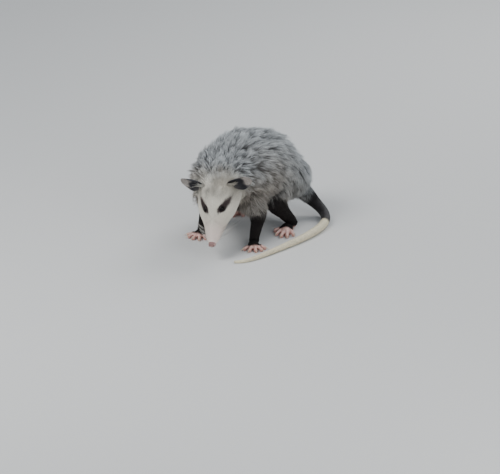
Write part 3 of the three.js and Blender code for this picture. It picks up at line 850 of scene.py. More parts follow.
def ear_gap(head_points):
    """How far points lie outside the nearer ear; gaps off its thin leaf count four times."""
    gap = np.full(len(head_points), 1e3)
    for _, sign in SIDES:
        along, across, off = ear_place(head_points, sign)
        share = np.clip((along + EAR["sunk"]) / (EAR["length"] + EAR["sunk"]), 0, 1)
        far = np.maximum(np.abs(off + ear_bowl(share, across)) - EAR["thick"] - 0.3, 0) * 4
        far += np.maximum(np.abs(across) - EAR["half"] - 2, 0) + np.maximum(1.0 - along, 0) * 3
        far += np.maximum(along - EAR["length"] - 3, 0)
        gap = np.minimum(gap, far)
    return gap - 1


def locate_legs(points, level):
    rows = []
    for index, (name, line) in enumerate(leg_lines.items()):
        if name.endswith(level):
            share, angle, outside = line.locate(points)
            rows.append((share, angle, outside + LEG_FUR[level], np.full(len(points), index)))
    return nearest_of(rows)


def locate_feet(points):
    """Share along the nearest foot, how far across it, how far outside it, and which it is."""
    rows = []
    for index, (palm, axes, foot) in enumerate(foot_places):
        own = (points - palm) @ axes
        reach = np.hypot(own[:, 0] / (foot["half"] + 15), (own[:, 1] - 6) / (foot["length"] + 17))
        gap = (reach - 1) * 20 + np.maximum(own[:, 2] - 11, 0) * 1.2
        along, across = own[:, 1] / FOOT_SPAN + 0.5, own[:, 0] / FOOT_SPREAD
        rows.append((along, across, gap, np.full(len(points), index)))
    return nearest_of(rows)


def locate_parts(points):
    """For each part: share and angle of a point on it, and how far outside it the point is."""
    found = {}
    share, angle, outside = body_line.locate(points)
    found["trunk"] = (share, angle, outside + skin_depth(share, angle))
    head_points = to_head(points)
    share, angle, outside = head_line.locate(head_points)
    found["head"] = (share, angle, outside + face_fur(share, angle))
    found["ear"] = (share, angle, ear_gap(head_points))
    for level in ("upper", "lower"):
        found[level] = locate_legs(points, level)
    found["foot"] = locate_feet(points)
    found["tail"] = tail_line.locate(points)
    return found


skin_found = locate_parts(skin_mm)
inside = {name: int((skin_found[name][2] < 0).sum()) for name in PARTS}
print("points of the skin inside each part:", inside)

# %% Weights of the parts
# Over how many millimetres the weight of a part fades, and how far ears and feet go before
# the part that they grow from
SOFTNESS, LEAD = 5.0, 6


def part_weights(found):
    gaps = np.stack([found[name][2] for name in PARTS], axis=1)
    for name in ("ear", "foot"):
        gaps[:, PARTS.index(name)] -= LEAD * (found[name][2] < 0)
    gaps = gaps - gaps.min(axis=1, keepdims=True)
    weights = np.exp(-gaps / SOFTNESS)
    return weights / weights.sum(axis=1, keepdims=True)


skin_weights = part_weights(skin_found)


def weight_of(name):
    return skin_weights[:, PARTS.index(name)]


print("mean weights:", {name: round(float(weight_of(name).mean()), 3) for name in PARTS})

# %% [markdown]
# ## Markings
# Skin and coat ask one function for their colours, so both carry the same markings. Each is
# given at the root and at the tip of the hair: the coat is dark below and pale on top.

# %% Colours
def linear(red, green, blue):
    """Linear light from a screen colour of 0 to 255."""
    c = np.array([red, green, blue]) / 255
    return np.where(c <= 0.04045, c / 12.92, ((c + 0.055) / 1.055) ** 2.4)


# Short hair of the face, and what is bare in it
CREAM = linear(240, 235, 222)
MUZZLE = linear(226, 202, 196)
WARM_GREY = linear(176, 168, 154)
CROWN_GREY = linear(136, 130, 120)
EYE_PATCH = linear(80, 69, 68)
LID_DARK = linear(38, 31, 31)
LIP_DARK = linear(84, 58, 56)
NOSE_PINK = linear(176, 147, 142)
# Painted shade of the nostrils and of the crease over the pad
NOSE_SHADE = linear(112, 76, 72)
EAR_DARK = linear(32, 32, 38)
EAR_RIM = linear(170, 162, 156)
# Long hair of the trunk, at its roots and its tips, and hair of the legs
GREY_ROOT = linear(50, 48, 49)
GREY_TIP = linear(146, 150, 152)
# Pale tips of the back, with a painted blue of sky light
SKY_TINTED_PALE_TIP = linear(238, 243, 245)
WARM_ROOT = linear(98, 91, 84)
WARM_TIP = linear(222, 213, 201)
LEG_DARK = linear(30, 26, 26)
LEG_TIP = linear(48, 43, 42)
# Toes, soles and the two parts of the tail
PINK = linear(212, 172, 162)
SOLE_PINK = linear(188, 140, 130)
TAIL_DARK = linear(34, 30, 32)
TAIL_PALE = linear(226, 216, 186)
print("cream in linear light", CREAM.round(3))

# %% Unevenness and the marks by the eyes
# The dark spindle runs this far ahead of the eye and behind it, and is this wide to each side
EYE_MARK = {"ahead": 15, "behind": 28, "half": 8.0, "power": 1.7}


def wobble(points, size, seed=0.0):
    """Soft, repeatable unevenness from -1 to 1."""
    x, y, z = (points / size + seed).T
    value = np.sin(x * 1.7 + 1.3 * np.sin(y * 1.1)) + np.sin(y * 1.9 + 1.2 * np.sin(z * 1.3))
    return (value + np.sin(z * 1.6 + 1.4 * np.sin(x * 0.9))) / 3


def eye_distance(head_points):
    gaps = [np.linalg.norm(head_points - middle, axis=1) for middle in eye_in_head.values()]
    return np.min(gaps, axis=0)


def eye_patch(points):
    """Dark spindle round each eye, its darker core behind the eye, and the dusky temple."""
    p = to_head(points)
    dark, core, temple = np.zeros((3, len(points)))
    for name, sign in SIDES:
        behind, across, normal = eye_axes(name, sign)
        away = p - eye_in_head[name]
        a, b, out = away @ behind, away @ across, away @ normal
        reach = np.where(a < 0, -a / EYE_MARK["ahead"], a / EYE_MARK["behind"])
        taper = np.maximum(0, 1 - np.minimum(reach, 1) ** EYE_MARK["power"])
        edge = np.abs(b) + 0.9 * wobble(points, 2.5) - EYE_MARK["half"] * np.sqrt(taper)
        dark = np.maximum(dark, (1 - blend(edge, -3.4, 1.4)) * (out > -16))
        core = np.maximum(core, (1 - blend(np.hypot((a - 5) / 1.5, b), 4, 8)) * (out > -16))
        temple = np.maximum(temple, dent(np.hypot((a - 33) / 1.3, b), 9) * (out > -22))
    return dark, core, temple


print("points in the dark marks:", int((eye_patch(skin_mm)[0] > 0.5).sum()))

# %% Markings of the face and the ears
def face_ground(points):
    """Cream, pinker on the muzzle, warm grey behind the cheeks and dusky on the crown."""
    p = to_head(points)
    back = -p[:, 2]
    face = np.tile(CREAM, (len(points), 1))
    muzzle = 1 - blend(back + 4 * wobble(points, 9), 16, 62)
    face = mix(face, MUZZLE, 0.55 * muzzle[:, None])
    smudge = dent(np.hypot(p[:, 0] + 13, (back - 103) * 1.2) + 3 * wobble(points, 6), 6)
    dusky = np.maximum(0.5 * dent(p[:, 0], 8) * blend(back, 84, 98), 0.6 * smudge)
    mottle = 0.45 * np.maximum(wobble(points, 8, 2.0), 0) * blend(back, 80, 100)
    face = mix(face, CROWN_GREY, np.maximum(dusky * (p[:, 1] > 0), mottle)[:, None])
    rear = blend(back + 5 * wobble(points, 11), 98, 116) * blend(p[:, 0] * 0.05 + 0.6, 0, 1)
    return mix(face, WARM_GREY, 0.7 * rear[:, None])


def nose_pad(p):
    """Colour of the pad of the nose, with painted shade in the nostrils and along the crease at its
    top, and where it lies.
    """
    # The pad darkens towards its upper edge: painted shade of the crease there
    pad = mix(np.tile(NOSE_PINK, (len(p), 1)), NOSE_SHADE, 0.75 * blend(p[:, [1]], 0.8, 3.4))
    for _, sign in SIDES:
        away = p - nostril(sign) + (sign * 0.5, 0, 1.6)
        hole = dent(np.linalg.norm(away / NOSTRIL / (1, 1, 1.6), axis=1), 1.1)
        # Painted shade deep in each nostril
        pad = mix(pad, NOSE_SHADE * 0.35, np.minimum(1.3 * hole, 1)[:, None])
    return pad, ((1 - blend(-p[:, 2], 5.5, 7.5)) * blend(p[:, 1], -5.2, -4.4))[:, None]


def face_marking(points):
    p = to_head(points)
    back = -p[:, 2]
    patch, core, temple = (share[:, None] for share in eye_patch(points))
    face = mix(face_ground(points), CROWN_GREY, 0.5 * temple)
    face = mix(face, EYE_PATCH, patch)
    face = mix(face, LID_DARK, 0.5 * core)
    pad, on_pad = nose_pad(p)
    face = mix(face, pad, on_pad)
    lips = 0.85 * dent(p[:, 1] - mouth_height(back), 0.8) * mouth_open(back)
    face = mix(face, LIP_DARK, lips[:, None])
    lids = 1 - blend(eye_distance(p), EYE["radius"] + 1.0, EYE["radius"] + 3.0)
    face = mix(face, LID_DARK, lids[:, None])
    return mix(face, face * 0.62, 0.8 * (1 - patch) * (1 - on_pad)), face


def ear_marking(points):
    """Near black, with a pale tip inside a dark edge."""
    p = to_head(points)
    pale = np.zeros(len(points))
    for _, sign in SIDES:
        along, across, _ = ear_place(p, sign)
        uneven = np.abs(across) + 1.2 * wobble(points, 4)
        inner = 1 - blend(uneven, EAR["half"] - 6, EAR["half"] - 3)
        outer = blend(along + 5 * wobble(points, 5), 24, 34) * (p[:, 0] * sign > 0)
        pale = np.maximum(pale, outer * np.maximum(inner, 0.35))
    return mix(EAR_DARK, EAR_RIM, 0.85 * pale[:, None])


print("the nose pad covers", int((nose_pad(to_head(skin_mm))[1] > 0.5).sum()), "points")

# %% Markings of the trunk, legs, feet and tail
# Share of the tail at which black gives way to pale
TAIL_BLACK = (0.285, 0.315)


def trunk_marking(points, found):
    """Pale tips over dark roots, browner down the flanks; painted sky light tints the back blue."""
    share, angle, _ = found["trunk"]
    height = np.sin(angle) + 0.25 * wobble(points, 30)
    behind = blend(share + 0.08 * wobble(points, 40), 0.15, 0.8)
    warm = ((1 - blend(height, -0.2, 1.0)) * mix(1, 0.35, behind))[:, None]
    root = mix(GREY_ROOT, WARM_ROOT, warm * (1 - 0.5 * blend(share, 0.3, 0.7))[:, None])
    # Tips pale on the back and browner down the flanks; their blue on top is painted sky light
    tip = mix(np.tile(SKY_TINTED_PALE_TIP, (len(points), 1)), WARM_TIP, warm)
    low = 1 - blend(np.sin(angle), -0.98, -0.7)
    chest = 0.6 * low * (1 - blend(share, 0.1, 0.4))
    return root, mix(tip, LEG_TIP, chest[:, None])


def upper_leg_marking(points, found):
    """The coat of the trunk runs down to the bend, and the rest is black-brown."""
    high = 1 - blend(found["upper"][0] + 0.08 * wobble(points, 12), 0.5, 0.9)[:, None]
    tip = mix(np.tile(LEG_TIP, (len(points), 1)), mix(WARM_TIP, GREY_TIP, 0.35), high)
    return mix(LEG_DARK, GREY_ROOT, high), tip


def toe_reach(foot):
    """How far a point of a foot lies towards the toes or out on a side toe."""
    return np.maximum(foot[0], np.abs(foot[1]) * blend(foot[0], 0.4, 0.5))


def foot_marking(points, found):
    """Dark above, with pink toes and soles."""
    toes = blend(toe_reach(found["foot"]), 0.62, 0.74)
    sole = 1 - blend(points[:, 2], 3.5, 8)
    pink = np.maximum(toes, sole)[:, None]
    return mix(LEG_DARK, mix(PINK, SOLE_PINK, sole[:, None]), pink)


def tail_marking(points, found):
    """Black by the body, then sharply pale."""
    share = found["tail"][0] + 0.006 * wobble(points, 7)
    return mix(TAIL_DARK, TAIL_PALE, blend(share, *TAIL_BLACK)[:, None])


def marking(points, found, weights):
    """Root and tip colour of the hair, or the colour of bare skin in both."""
    pairs = {
        "trunk": trunk_marking(points, found),
        "head": face_marking(points),
        "ear": [ear_marking(points)] * 2,
        "tail": [tail_marking(points, found)] * 2,
        "upper": upper_leg_marking(points, found),
        "lower": (LEG_DARK, LEG_TIP),
        "foot": [foot_marking(points, found)] * 2,
    }
    share = {name: weights[:, [i]] for i, name in enumerate(PARTS)}
    roots = sum(share[name] * root for name, (root, _) in pairs.items())
    tips = sum(share[name] * tip for name, (_, tip) in pairs.items())
    return roots, tips


skin_root_tone, skin_tip_tone = marking(skin_mm, skin_found, skin_weights)
print("mean tone of roots and tips:", skin_root_tone.mean(0).round(3), skin_tip_tone.mean(0).round(3))

# %% [markdown]
# ## Finishes of the skin
# Under long fur the skin only has to be dark. On the face it shows between the short hairs, so
# its bump is drawn out along the lie. Nose, toes, ears and tail are bare: fine creases, a thin
# leather, and small scales in rings.

# %% Makers of finishes
def shader_of(finish):
    return finish.node_tree.nodes["Principled BSDF"]


def new_finish(name, roughness, **sockets):
    finish = bpy.data.materials.new(name)
    finish.use_nodes = True
    inputs = shader_of(finish).inputs
    inputs["Roughness"].default_value = roughness
    for socket, value in sockets.items():
        inputs[socket.replace("_", " ")].default_value = value
    return finish


def add_node(finish, kind, **values):
    node = finish.node_tree.nodes.new("ShaderNode" + kind)
    for name, value in values.items():
        if hasattr(node, name):
            setattr(node, name, value)
        else:
            node.inputs[name.replace("_", " ")].default_value = value
    return node


def join_nodes(finish, start, end):
    finish.node_tree.links.new(start, end)


def drawn_noise(finish, place, stretch, scale):
    """Noise read from a place, drawn out or pressed together by the stretch."""
    mapping = add_node(finish, "Mapping", Scale=stretch)
    noise = add_node(finish, "TexNoise", Scale=scale, Detail=3.0)
    join_nodes(finish, place, mapping.inputs["Vector"])
    join_nodes(finish, mapping.outputs["Vector"], noise.inputs["Vector"])
    return noise


def shade(finish, colour, level):
    """Gives the finish a colour that a level makes lighter and darker."""
    product = add_node(finish, "VectorMath", operation="SCALE")
    join_nodes(finish, colour, product.inputs[0])
    join_nodes(finish, level, product.inputs["Scale"])
    join_nodes(finish, product.outputs["Vector"], shader_of(finish).inputs["Base Color"])


def tone_with_grain(finish, scale, amount, stretch=(1, 1, 1)):
    """Colour from the tone attribute, made lighter and darker by a fine noise."""
    tone = add_node(finish, "Attribute", attribute_name="tone")
    place = add_node(finish, "TexCoord")
    noise = drawn_noise(finish, place.outputs["Object"], stretch, scale)
    level = add_node(finish, "MapRange", From_Min=0.25, From_Max=0.75)
    level.inputs["To Min"].default_value = 1 - amount
    level.inputs["To Max"].default_value = 1 + amount
    join_nodes(finish, noise.outputs["Fac"], level.inputs["Value"])
    shade(finish, tone.outputs["Color"], level.outputs["Result"])
    return noise


def add_bump(finish, height, strength, distance):
    bump = add_node(finish, "Bump", Strength=strength, Distance=distance)
    join_nodes(finish, height, bump.inputs["Height"])
    join_nodes(finish, bump.outputs["Normal"], shader_of(finish).inputs["Normal"])


# %% Finishes of fur, bare skin and ears
under_fur = new_finish("under_fur", 0.85, Specular_IOR_Level=0.25)
tone_with_grain(under_fur, scale=900, amount=0.15)
lie = add_node(under_fur, "Attribute", attribute_name="around")
hairs = drawn_noise(under_fur, lie.outputs["Vector"], stretch=(0.16, 2.2, 2.2), scale=1.0)
add_bump(under_fur, hairs.outputs["Fac"], strength=0.8, distance=0.0007)

bare_skin = new_finish("bare_skin", 0.5, Subsurface_Weight=0.08, Subsurface_Scale=0.002)
tone_with_grain(bare_skin, scale=350, amount=0.12)
place = add_node(bare_skin, "TexCoord")
cells = add_node(bare_skin, "TexVoronoi", Scale=1500.0)
join_nodes(bare_skin, place.outputs["Object"], cells.inputs["Vector"])
add_bump(bare_skin, cells.outputs["Distance"], strength=0.35, distance=0.0003)

ear_leather = new_finish("ear_leather", 0.6, Specular_IOR_Level=0.2)
grain = tone_with_grain(ear_leather, scale=260, amount=0.3)
add_bump(ear_leather, grain.outputs["Fac"], strength=0.8, distance=0.001)
print("finishes of", under_fur.name, bare_skin.name, "and", ear_leather.name)

# %% Finish of the tail
# Each scale is about 1.6 mm long and 1.25 mm wide, and the creases between them are painted darker,
# as painted shade
CREASE_SHADE = 0.72
tail_scales = new_finish("tail_scales", 0.55, Specular_IOR_Level=0.35)
tone_with_grain(tail_scales, scale=180, amount=0.14)
lie = add_node(tail_scales, "Attribute", attribute_name="around")
spaced = add_node(tail_scales, "Mapping", Scale=(0.62, 0.8, 0.8))
scales = add_node(tail_scales, "TexVoronoi", feature="DISTANCE_TO_EDGE", Scale=1.0, Randomness=0.4)
join_nodes(tail_scales, lie.outputs["Vector"], spaced.inputs["Vector"])
join_nodes(tail_scales, spaced.outputs["Vector"], scales.inputs["Vector"])
raised = add_node(tail_scales, "MapRange", From_Max=0.22)
join_nodes(tail_scales, scales.outputs["Distance"], raised.inputs["Value"])
add_bump(tail_scales, raised.outputs["Result"], strength=0.6, distance=0.0004)
# Painted shade: darker towards the creases between the scales
crease_shade_level = add_node(tail_scales, "MapRange", From_Max=0.16, To_Min=CREASE_SHADE)
join_nodes(tail_scales, scales.outputs["Distance"], crease_shade_level.inputs["Value"])
grained = shader_of(tail_scales).inputs["Base Color"].links[0].from_socket
shade(tail_scales, grained, crease_shade_level.outputs["Result"])
print("creases at", CREASE_SHADE, "of the tone of the scales")

# %% Tones and coordinates of the skin
# Length and radius that stand in where a part has no line of its own
LIMB_LENGTH, LIMB_RADIUS = 60, 14
LINES = {"trunk": body_line, "head": head_line, "ear": head_line, "tail": tail_line}


def give_tone(piece, colours):
    attribute = piece.data.attributes.new("tone", "FLOAT_COLOR", "POINT")
    rgba = np.ones((len(colours), 4), np.float32)
    rgba[:, :3] = np.clip(colours, 0, 1)
    attribute.data.foreach_set("color", rgba.ravel())


# Under the long coat the skin has the tone of the roots, elsewhere mostly that of the tips
rooted = np.clip(weight_of("trunk") + 0.3, 0, 1)
give_tone(skin, mix(skin_tip_tone, skin_root_tone, rooted[:, None]))
chief = skin_weights.argmax(axis=1)
around = np.zeros((len(skin_mm), 3))
for i, name in enumerate(PARTS):
    on = chief == i
    share, angle = (np.asarray(column)[on] for column in skin_found[name][:2])
    length, radius = LIMB_LENGTH, LIMB_RADIUS
    if name in LINES:
        length, radius = LINES[name].length, LINES[name].frame(share)[1][:, 0]
    around[on] = np.stack([share * length, np.cos(angle) * radius, np.sin(angle) * radius], axis=1)
attribute = skin.data.attributes.new("around", "FLOAT_VECTOR", "POINT")
attribute.data.foreach_set("vector", around.astype(np.float32).ravel())
print("tones on", len(around), "points")

# %% Which finish where
FINISHES = [under_fur, bare_skin, ear_leather, tail_scales]
for finish in FINISHES:
    skin.data.materials.append(finish)
head_own = to_head(skin_mm)
toes_or_soles = (toe_reach(skin_found["foot"]) > 0.66) | (skin_mm[:, 2] < 6)
on_nose = (-head_own[:, 2] < 6.5) & (head_own[:, 1] > -5)
finish_of_point = np.zeros(len(skin_mm), int)
finish_of_point[(weight_of("foot") > 0.5) & toes_or_soles] = FINISHES.index(bare_skin)
finish_of_point[(weight_of("head") > 0.5) & on_nose] = FINISHES.index(bare_skin)
finish_of_point[weight_of("ear") > 0.5] = FINISHES.index(ear_leather)
finish_of_point[weight_of("tail") > 0.5] = FINISHES.index(tail_scales)
corners = np.empty(len(skin.data.loops), int)
skin.data.loops.foreach_get("vertex_index", corners)
corners = corners.reshape(-1, 3)
skin.data.polygons.foreach_set("material_index", finish_of_point[corners.min(axis=1)])
skin.data.polygons.foreach_set("use_smooth", np.ones(len(corners), bool))
write_points(skin, to_room(skin_mm))
print("points with each finish:", np.bincount(finish_of_point))

# %% [markdown]
# ## The lie of the coat
# Hair points back along the trunk and down its sides, back over the head, down the legs and on
# along the tail. Each tuft starts at a point of the skin and walks over it in short steps,
# following the lie, so that long hair bends round the body as a combed coat does.

# %% Faces of the skin in a fixed order
# They come in another order in each run; sorted, they give the same coat every time
lowest_first = (corners.argmin(axis=1)[:, None] + np.arange(3)) % 3
corners = np.take_along_axis(corners, lowest_first, axis=1)
corners = corners[np.lexsort(corners.T)]
a, b, c = (skin_mm[corners[:, i]] for i in range(3))
face_cross = np.cross(b - a, c - a)
face_area = np.linalg.norm(face_cross, axis=1) / 2
point_normal = np.zeros_like(skin_mm)
for i in range(3):
    np.add.at(point_normal, corners[:, i], face_cross)
point_normal = unit(point_normal)
face_normal = unit(point_normal[corners].sum(axis=1))
tree = BVHTree.FromPolygons(skin_mm.tolist(), corners.tolist())
print("skin of", round(face_area.sum() / 100), "square centimetres")

# %% Lie of the coat
limb_ways = np.array([unit(line.table[-1, :3] - line.table[0, :3]) for line in leg_lines.values()])
foot_ways = np.array([axes[:, 1] for _, axes, _ in foot_places])


def lie_of(points, found, weights):
    """The way that hair points on each part, blended by the weights of the parts."""
    share, angle, _ = found["trunk"]
    fall = np.array([0, 0, -1.0]) * (0.22 + 0.4 * np.abs(np.cos(angle)))[:, None]
    p = to_head(points)
    outward = np.sign(p[:, [0]]) * HEAD_AXES[:, 0] * 0.18
    head = -HEAD_AXES[:, 2] + outward - 0.25 * HEAD_AXES[:, 1] * (p[:, [1]] < 0)
    ways = {
        "trunk": body_line.frame(share)[3] + fall,
        "head": head,
        "ear": head,
        "upper": limb_ways[found["upper"][3]] + np.array([0, 0.25, 0]),
        "lower": limb_ways[found["lower"][3]] + np.array([0, 0.1, 0]),
        "foot": foot_ways[found["foot"][3]],
        "tail": tail_line.frame(found["tail"][0])[3],
    }
    return unit(sum(weights[:, [i]] * ways[name] for i, name in enumerate(PARTS)))


point_lie = lie_of(skin_mm, skin_found, skin_weights)
face_lie = point_lie[corners].mean(axis=1)
print("lie known on", len(corners), "faces, on the whole", unit(face_lie.mean(axis=0)).round(2))

# %% Roots and walks
def scatter(density, seed):
    """Roots spread over the skin; density is in tufts to a square millimetre at each point."""
    draw = np.random.default_rng(seed)
    expected = face_area * density[corners].mean(axis=1)
    total = np.cumsum(expected)
    count = int(total[-1])
    chosen = np.searchsorted(total, (np.arange(count) + draw.random(count)) * total[-1] / count)
    chosen = np.minimum(chosen, len(corners) - 1)
    u, v = draw.random((2, count))
    flip = u + v > 1
    u, v = np.where(flip, 1 - u, u), np.where(flip, 1 - v, v)
    a, b, c = (skin_mm[corners[chosen, i]] for i in range(3))
    return a + (b - a) * u[:, None] + (c - a) * v[:, None], chosen


def walk(roots, faces, lengths, steps, stray):
    """Places and normals under a tuft, step by step over the skin."""
    places, normals, on_face = [roots], [face_normal[faces]], faces
    point = roots
    for _ in range(steps):
        normal = face_normal[on_face]
        way = unit(face_lie[on_face] + stray)
        way = unit(way - (way * normal).sum(1, keepdims=True) * normal)
        ahead = point + way * (lengths / steps)[:, None]
        found = [tree.find_nearest(p) for p in ahead.tolist()]
        point = np.array([f[0] for f in found])
        on_face = np.array([f[2] for f in found])
        places.append(point)
        normals.append(face_normal[on_face])
    return np.stack(places, axis=1), np.stack(normals, axis=1)


test_roots = scatter(np.full(len(skin_mm), 0.01), 1)[0]
print("roots at one to a square centimetre:", len(test_roots))

# %% [markdown]
# ## Tufts as solid mesh
# A tuft is a closed spike of three sides that tapers to a point. All tufts of a piece are
# written at once: the same little plan of faces, repeated. Each tuft also gets its own small
# patch of the OFBake map, at its root's place on an unrolled skin.

# %% Shape of a tuft
def tuft_plan(steps):
    """Faces of one tuft, and the place of each corner in its patch."""
    faces, patch = [(2, 1, 0)], [[(0.0, 0.0), (0.33, 0.0), (0.67, 0.0)]]
    for k in range(steps - 1):
        low, high = k / steps, (k + 1) / steps
        for j in range(3):
            n = (j + 1) % 3
            here, there = j / 3, (j + 1) / 3
            faces.append((3 * k + j, 3 * k + n, 3 * k + 3 + n, 3 * k + 3 + j))
            patch.append([(here, low), (there, low), (there, high), (here, high)])
    tip, last, low = 3 * steps, 3 * (steps - 1), (steps - 1) / steps
    for j in range(3):
        faces.append((last + j, last + (j + 1) % 3, tip))
        patch.append([(j / 3, low), ((j + 1) / 3, low), ((j + 0.5) / 3, 1.0)])
    return faces, patch


def tuft_points(spines, normals, widths, flat):
    """Three points round each knot of a spine but the last, then its tip."""
    count, knots = spines.shape[:2]
    steps = knots - 1
    t = np.linspace(0, 1, knots)
    along = unit(np.gradient(spines, axis=1))
    side = unit(np.cross(along, normals))
    up = np.cross(side, along)
    profile = (1 - t) ** 0.75 * (0.72 + 0.5 * np.sin(math.pi * t))
    half = widths[:, None] / 2 * profile[None, :]
    rings = np.empty((count, steps, 3, 3))
    for j, (across, high) in enumerate(((-1, 0), (1, 0), (0, 1))):
        rings[:, :, j] = spines[:, :steps] + side[:, :steps] * (across * half[:, :steps, None])
        rings[:, :, j] += up[:, :steps] * (high * 2 * flat * half[:, :steps, None])
    return np.concatenate([rings.reshape(count, -1, 3), spines[:, -1:]], axis=1)


for steps in (2, 3, 4):
    print("a tuft in", steps, "steps has", len(tuft_plan(steps)[0]), "faces")

# %% Many tufts as one mesh
# Width of a tuft's patch, and where the patches start and how far they spread, on a map of 1
PATCH, MAP_START, MAP_SPAN = 0.003, 0.01, 0.975


def tuft_mesh(name, points, faces):
    """One mesh from the points of all tufts and the faces of one."""
    count, size = points.shape[:2]
    corner_list = np.array([c for face in faces for c in face])
    start_list = np.cumsum([0] + [len(face) for face in faces])[:-1]
    all_corners = (np.arange(count)[:, None] * size + corner_list[None]).ravel()
    all_starts = (np.arange(count)[:, None] * len(corner_list) + start_list[None]).ravel()
    mesh = bpy.data.meshes.new(name)
    mesh.vertices.add(count * size)
    mesh.vertices.foreach_set("co", to_room(points.reshape(-1, 3)).ravel())
    mesh.loops.add(len(all_corners))
    mesh.loops.foreach_set("vertex_index", all_corners)
    mesh.polygons.add(len(all_starts))
    mesh.polygons.foreach_set("loop_start", all_starts)
    mesh.update(calc_edges=True)
    mesh.polygons.foreach_set("use_smooth", np.ones(len(all_starts), bool))
    return mesh


def give_patches(mesh, patch, unrolled):
    """Gives each tuft a small patch of the map, at its root's place on the unrolled skin."""
    layer = mesh.uv_layers.new(name="OFBake")
    small = np.array([corner for face in patch for corner in face]) * PATCH
    low, high = unrolled.min(axis=0), unrolled.max(axis=0)
    root_uv = MAP_START + (unrolled - low) / np.maximum(high - low, 1e-6) * MAP_SPAN
    layer.data.foreach_set("uv", (root_uv[:, None, :] + small[None]).ravel())


def build_tufts(name, spines, normals, widths, tones, unrolled, finish, pale=(0, 1), flat=0.45):
    """One piece of many tufts; spines has the points of each tuft from root to tip."""
    steps = spines.shape[1] - 1
    faces, patch = tuft_plan(steps)
    points = tuft_points(spines, normals, widths, flat)
    mesh = tuft_mesh(name, points, faces)
    give_patches(mesh, patch, unrolled)
    piece = bpy.data.objects.new(name, mesh)
    bpy.context.scene.collection.objects.link(piece)
    shares = np.append(np.repeat(np.linspace(0, 1, steps + 1)[:steps], 3), 1.0)
    roots, tips = (tone[:, None, :] for tone in tones)
    give_tone(piece, mix(roots, tips, blend(shares, *pale)[None, :, None]).reshape(-1, 3))
    mesh.materials.append(finish)
    return piece


hair = new_finish("hair", 0.7, Specular_IOR_Level=0.2)
tone_with_grain(hair, scale=500, amount=0.10)
print("finish", hair.name, "made")

# %% Growing one kind of coat
# What a style says: how a tuft is built ("steps"), bent ("bow"), rooted ("sunk") and how far it
# strays from the lie; the shares of tufts that are underfur ("under"), guard hair or leaders of
# a clump ("clump_share"); how much tips lean to their leader ("clump"), how high leaders stand
# ("lift"), how their tone varies ("vary"), and between which shares it turns from dark to pale
coat_pieces = []


def tuft_kinds(style, count, draw):
    """Which tufts are underfur, which are guard hair, and which lead a clump."""
    kind = draw.random(count)
    under, guard = kind < style["under"], kind > 1 - style["guard"]
    leads = (draw.random(count) < style["clump_share"]) & ~under & ~guard
    return under, guard, leads


def tuft_spines(style, roots, faces, length, height, kinds, draw):
    """Spines that walk over the skin and rise from it in a bow."""
    under, guard, leads = kinds
    count, steps = len(roots), style["steps"]
    length = length * mix(0.75, 1.2, draw.random(count)) * np.where(under, 0.6, 1)
    fullness = np.where(under, 0.6, np.where(guard, 1.3, 1))
    height = height * mix(0.8, 1.1, draw.random(count)) * fullness
    height = height * np.where(leads, mix(0.95, style["lift"], draw.random(count)), 1)
    stray = (draw.random((count, 3)) - 0.5) * 2 * style["stray"]
    stray = stray * np.where(leads, 1.8, 1)[:, None]
    places, normals = walk(roots, faces, length, steps, stray)
    t = np.linspace(0, 1, steps + 1)
    rise = 1 - (1 - t) ** style["bow"]
    spines = places + normals * (height[:, None] * rise[None])[:, :, None]
    spines -= normals * (style["sunk"] * (1 - t))[None, :, None]
    return spines, normals


def lean_in_clumps(style, roots, spines, kinds, draw):
    """Leans the tips to the nearest leader, and tells for each tuft which leader that is."""
    under, guard, leads = kinds
    centres = np.flatnonzero(leads)
    kd = KDTree(len(centres))
    for i, index in enumerate(centres):
        kd.insert(roots[index], i)
    kd.balance()
    nearest = np.array([kd.find(p)[1] for p in roots.tolist()])
    t = np.linspace(0, 1, style["steps"] + 1)
    pull = style["clump"] * mix(0.55, 1.0, draw.random(len(roots)))
    pull = pull * np.where(under | guard, 0.25, 1)
    spines += (spines[centres[nearest]] - spines) * (pull[:, None] * t[None] ** 1.3)[:, :, None]
    spines[:, :, 2] = np.maximum(spines[:, :, 2], 0.25)
    return nearest


def grow_coat(names, density, seed, style):
    """Scatters, walks and builds one kind of coat, in as many pieces as there are names."""
    draw = np.random.default_rng(seed + 1)
    roots, faces = scatter(density, seed)
    near = corners[faces][:, 0]
    found = {}
    for part in PARTS:
        found[part] = tuple(np.asarray(column)[near] for column in skin_found[part])
    length, height, width = style["size"](roots, found, skin_weights[near])
    kinds = tuft_kinds(style, len(roots), draw)
    spines, normals = tuft_spines(style, roots, faces, length, height, kinds, draw)
    leader = lean_in_clumps(style, roots, spines, kinds, draw)
    under, guard, leads = kinds
    root_tone, tip_tone = skin_root_tone[near], skin_tip_tone[near]
    darker = 0.7 * draw.random(int(leads.sum()))[leader] + 0.3 * draw.random(len(roots))
    darker = np.where(under, 0.8, np.where(guard, 0, style["vary"] * darker))
    tip_tone = mix(tip_tone, root_tone, darker[:, None])
    part, column = style["split"]
    order = np.argsort(found[part][column], kind="stable")
    unrolled = style["unroll"](found)
    for name, own in zip(names, np.array_split(order, len(names))):
        widths = width[own] * mix(0.75, 1.2, draw.random(len(own)))
        tones = (root_tone[own], tip_tone[own])
        piece = build_tufts(
            name, spines[own], normals[own], widths, tones, unrolled[own], hair, style["pale"],
        )
        coat_pieces.append(piece)
        print(name, len(own), "tufts,", triangles(piece), "triangles")


print("coats can grow from", len(skin_mm), "points of the skin")

# %% [markdown]
# ## The long coat
# The trunk carries long, coarse guard hair over a shorter dark underfur. Both grow in clumps
# about a finger wide. Most tips end near the outline of the solids, and the leaders of the
# clumps stand out past it.

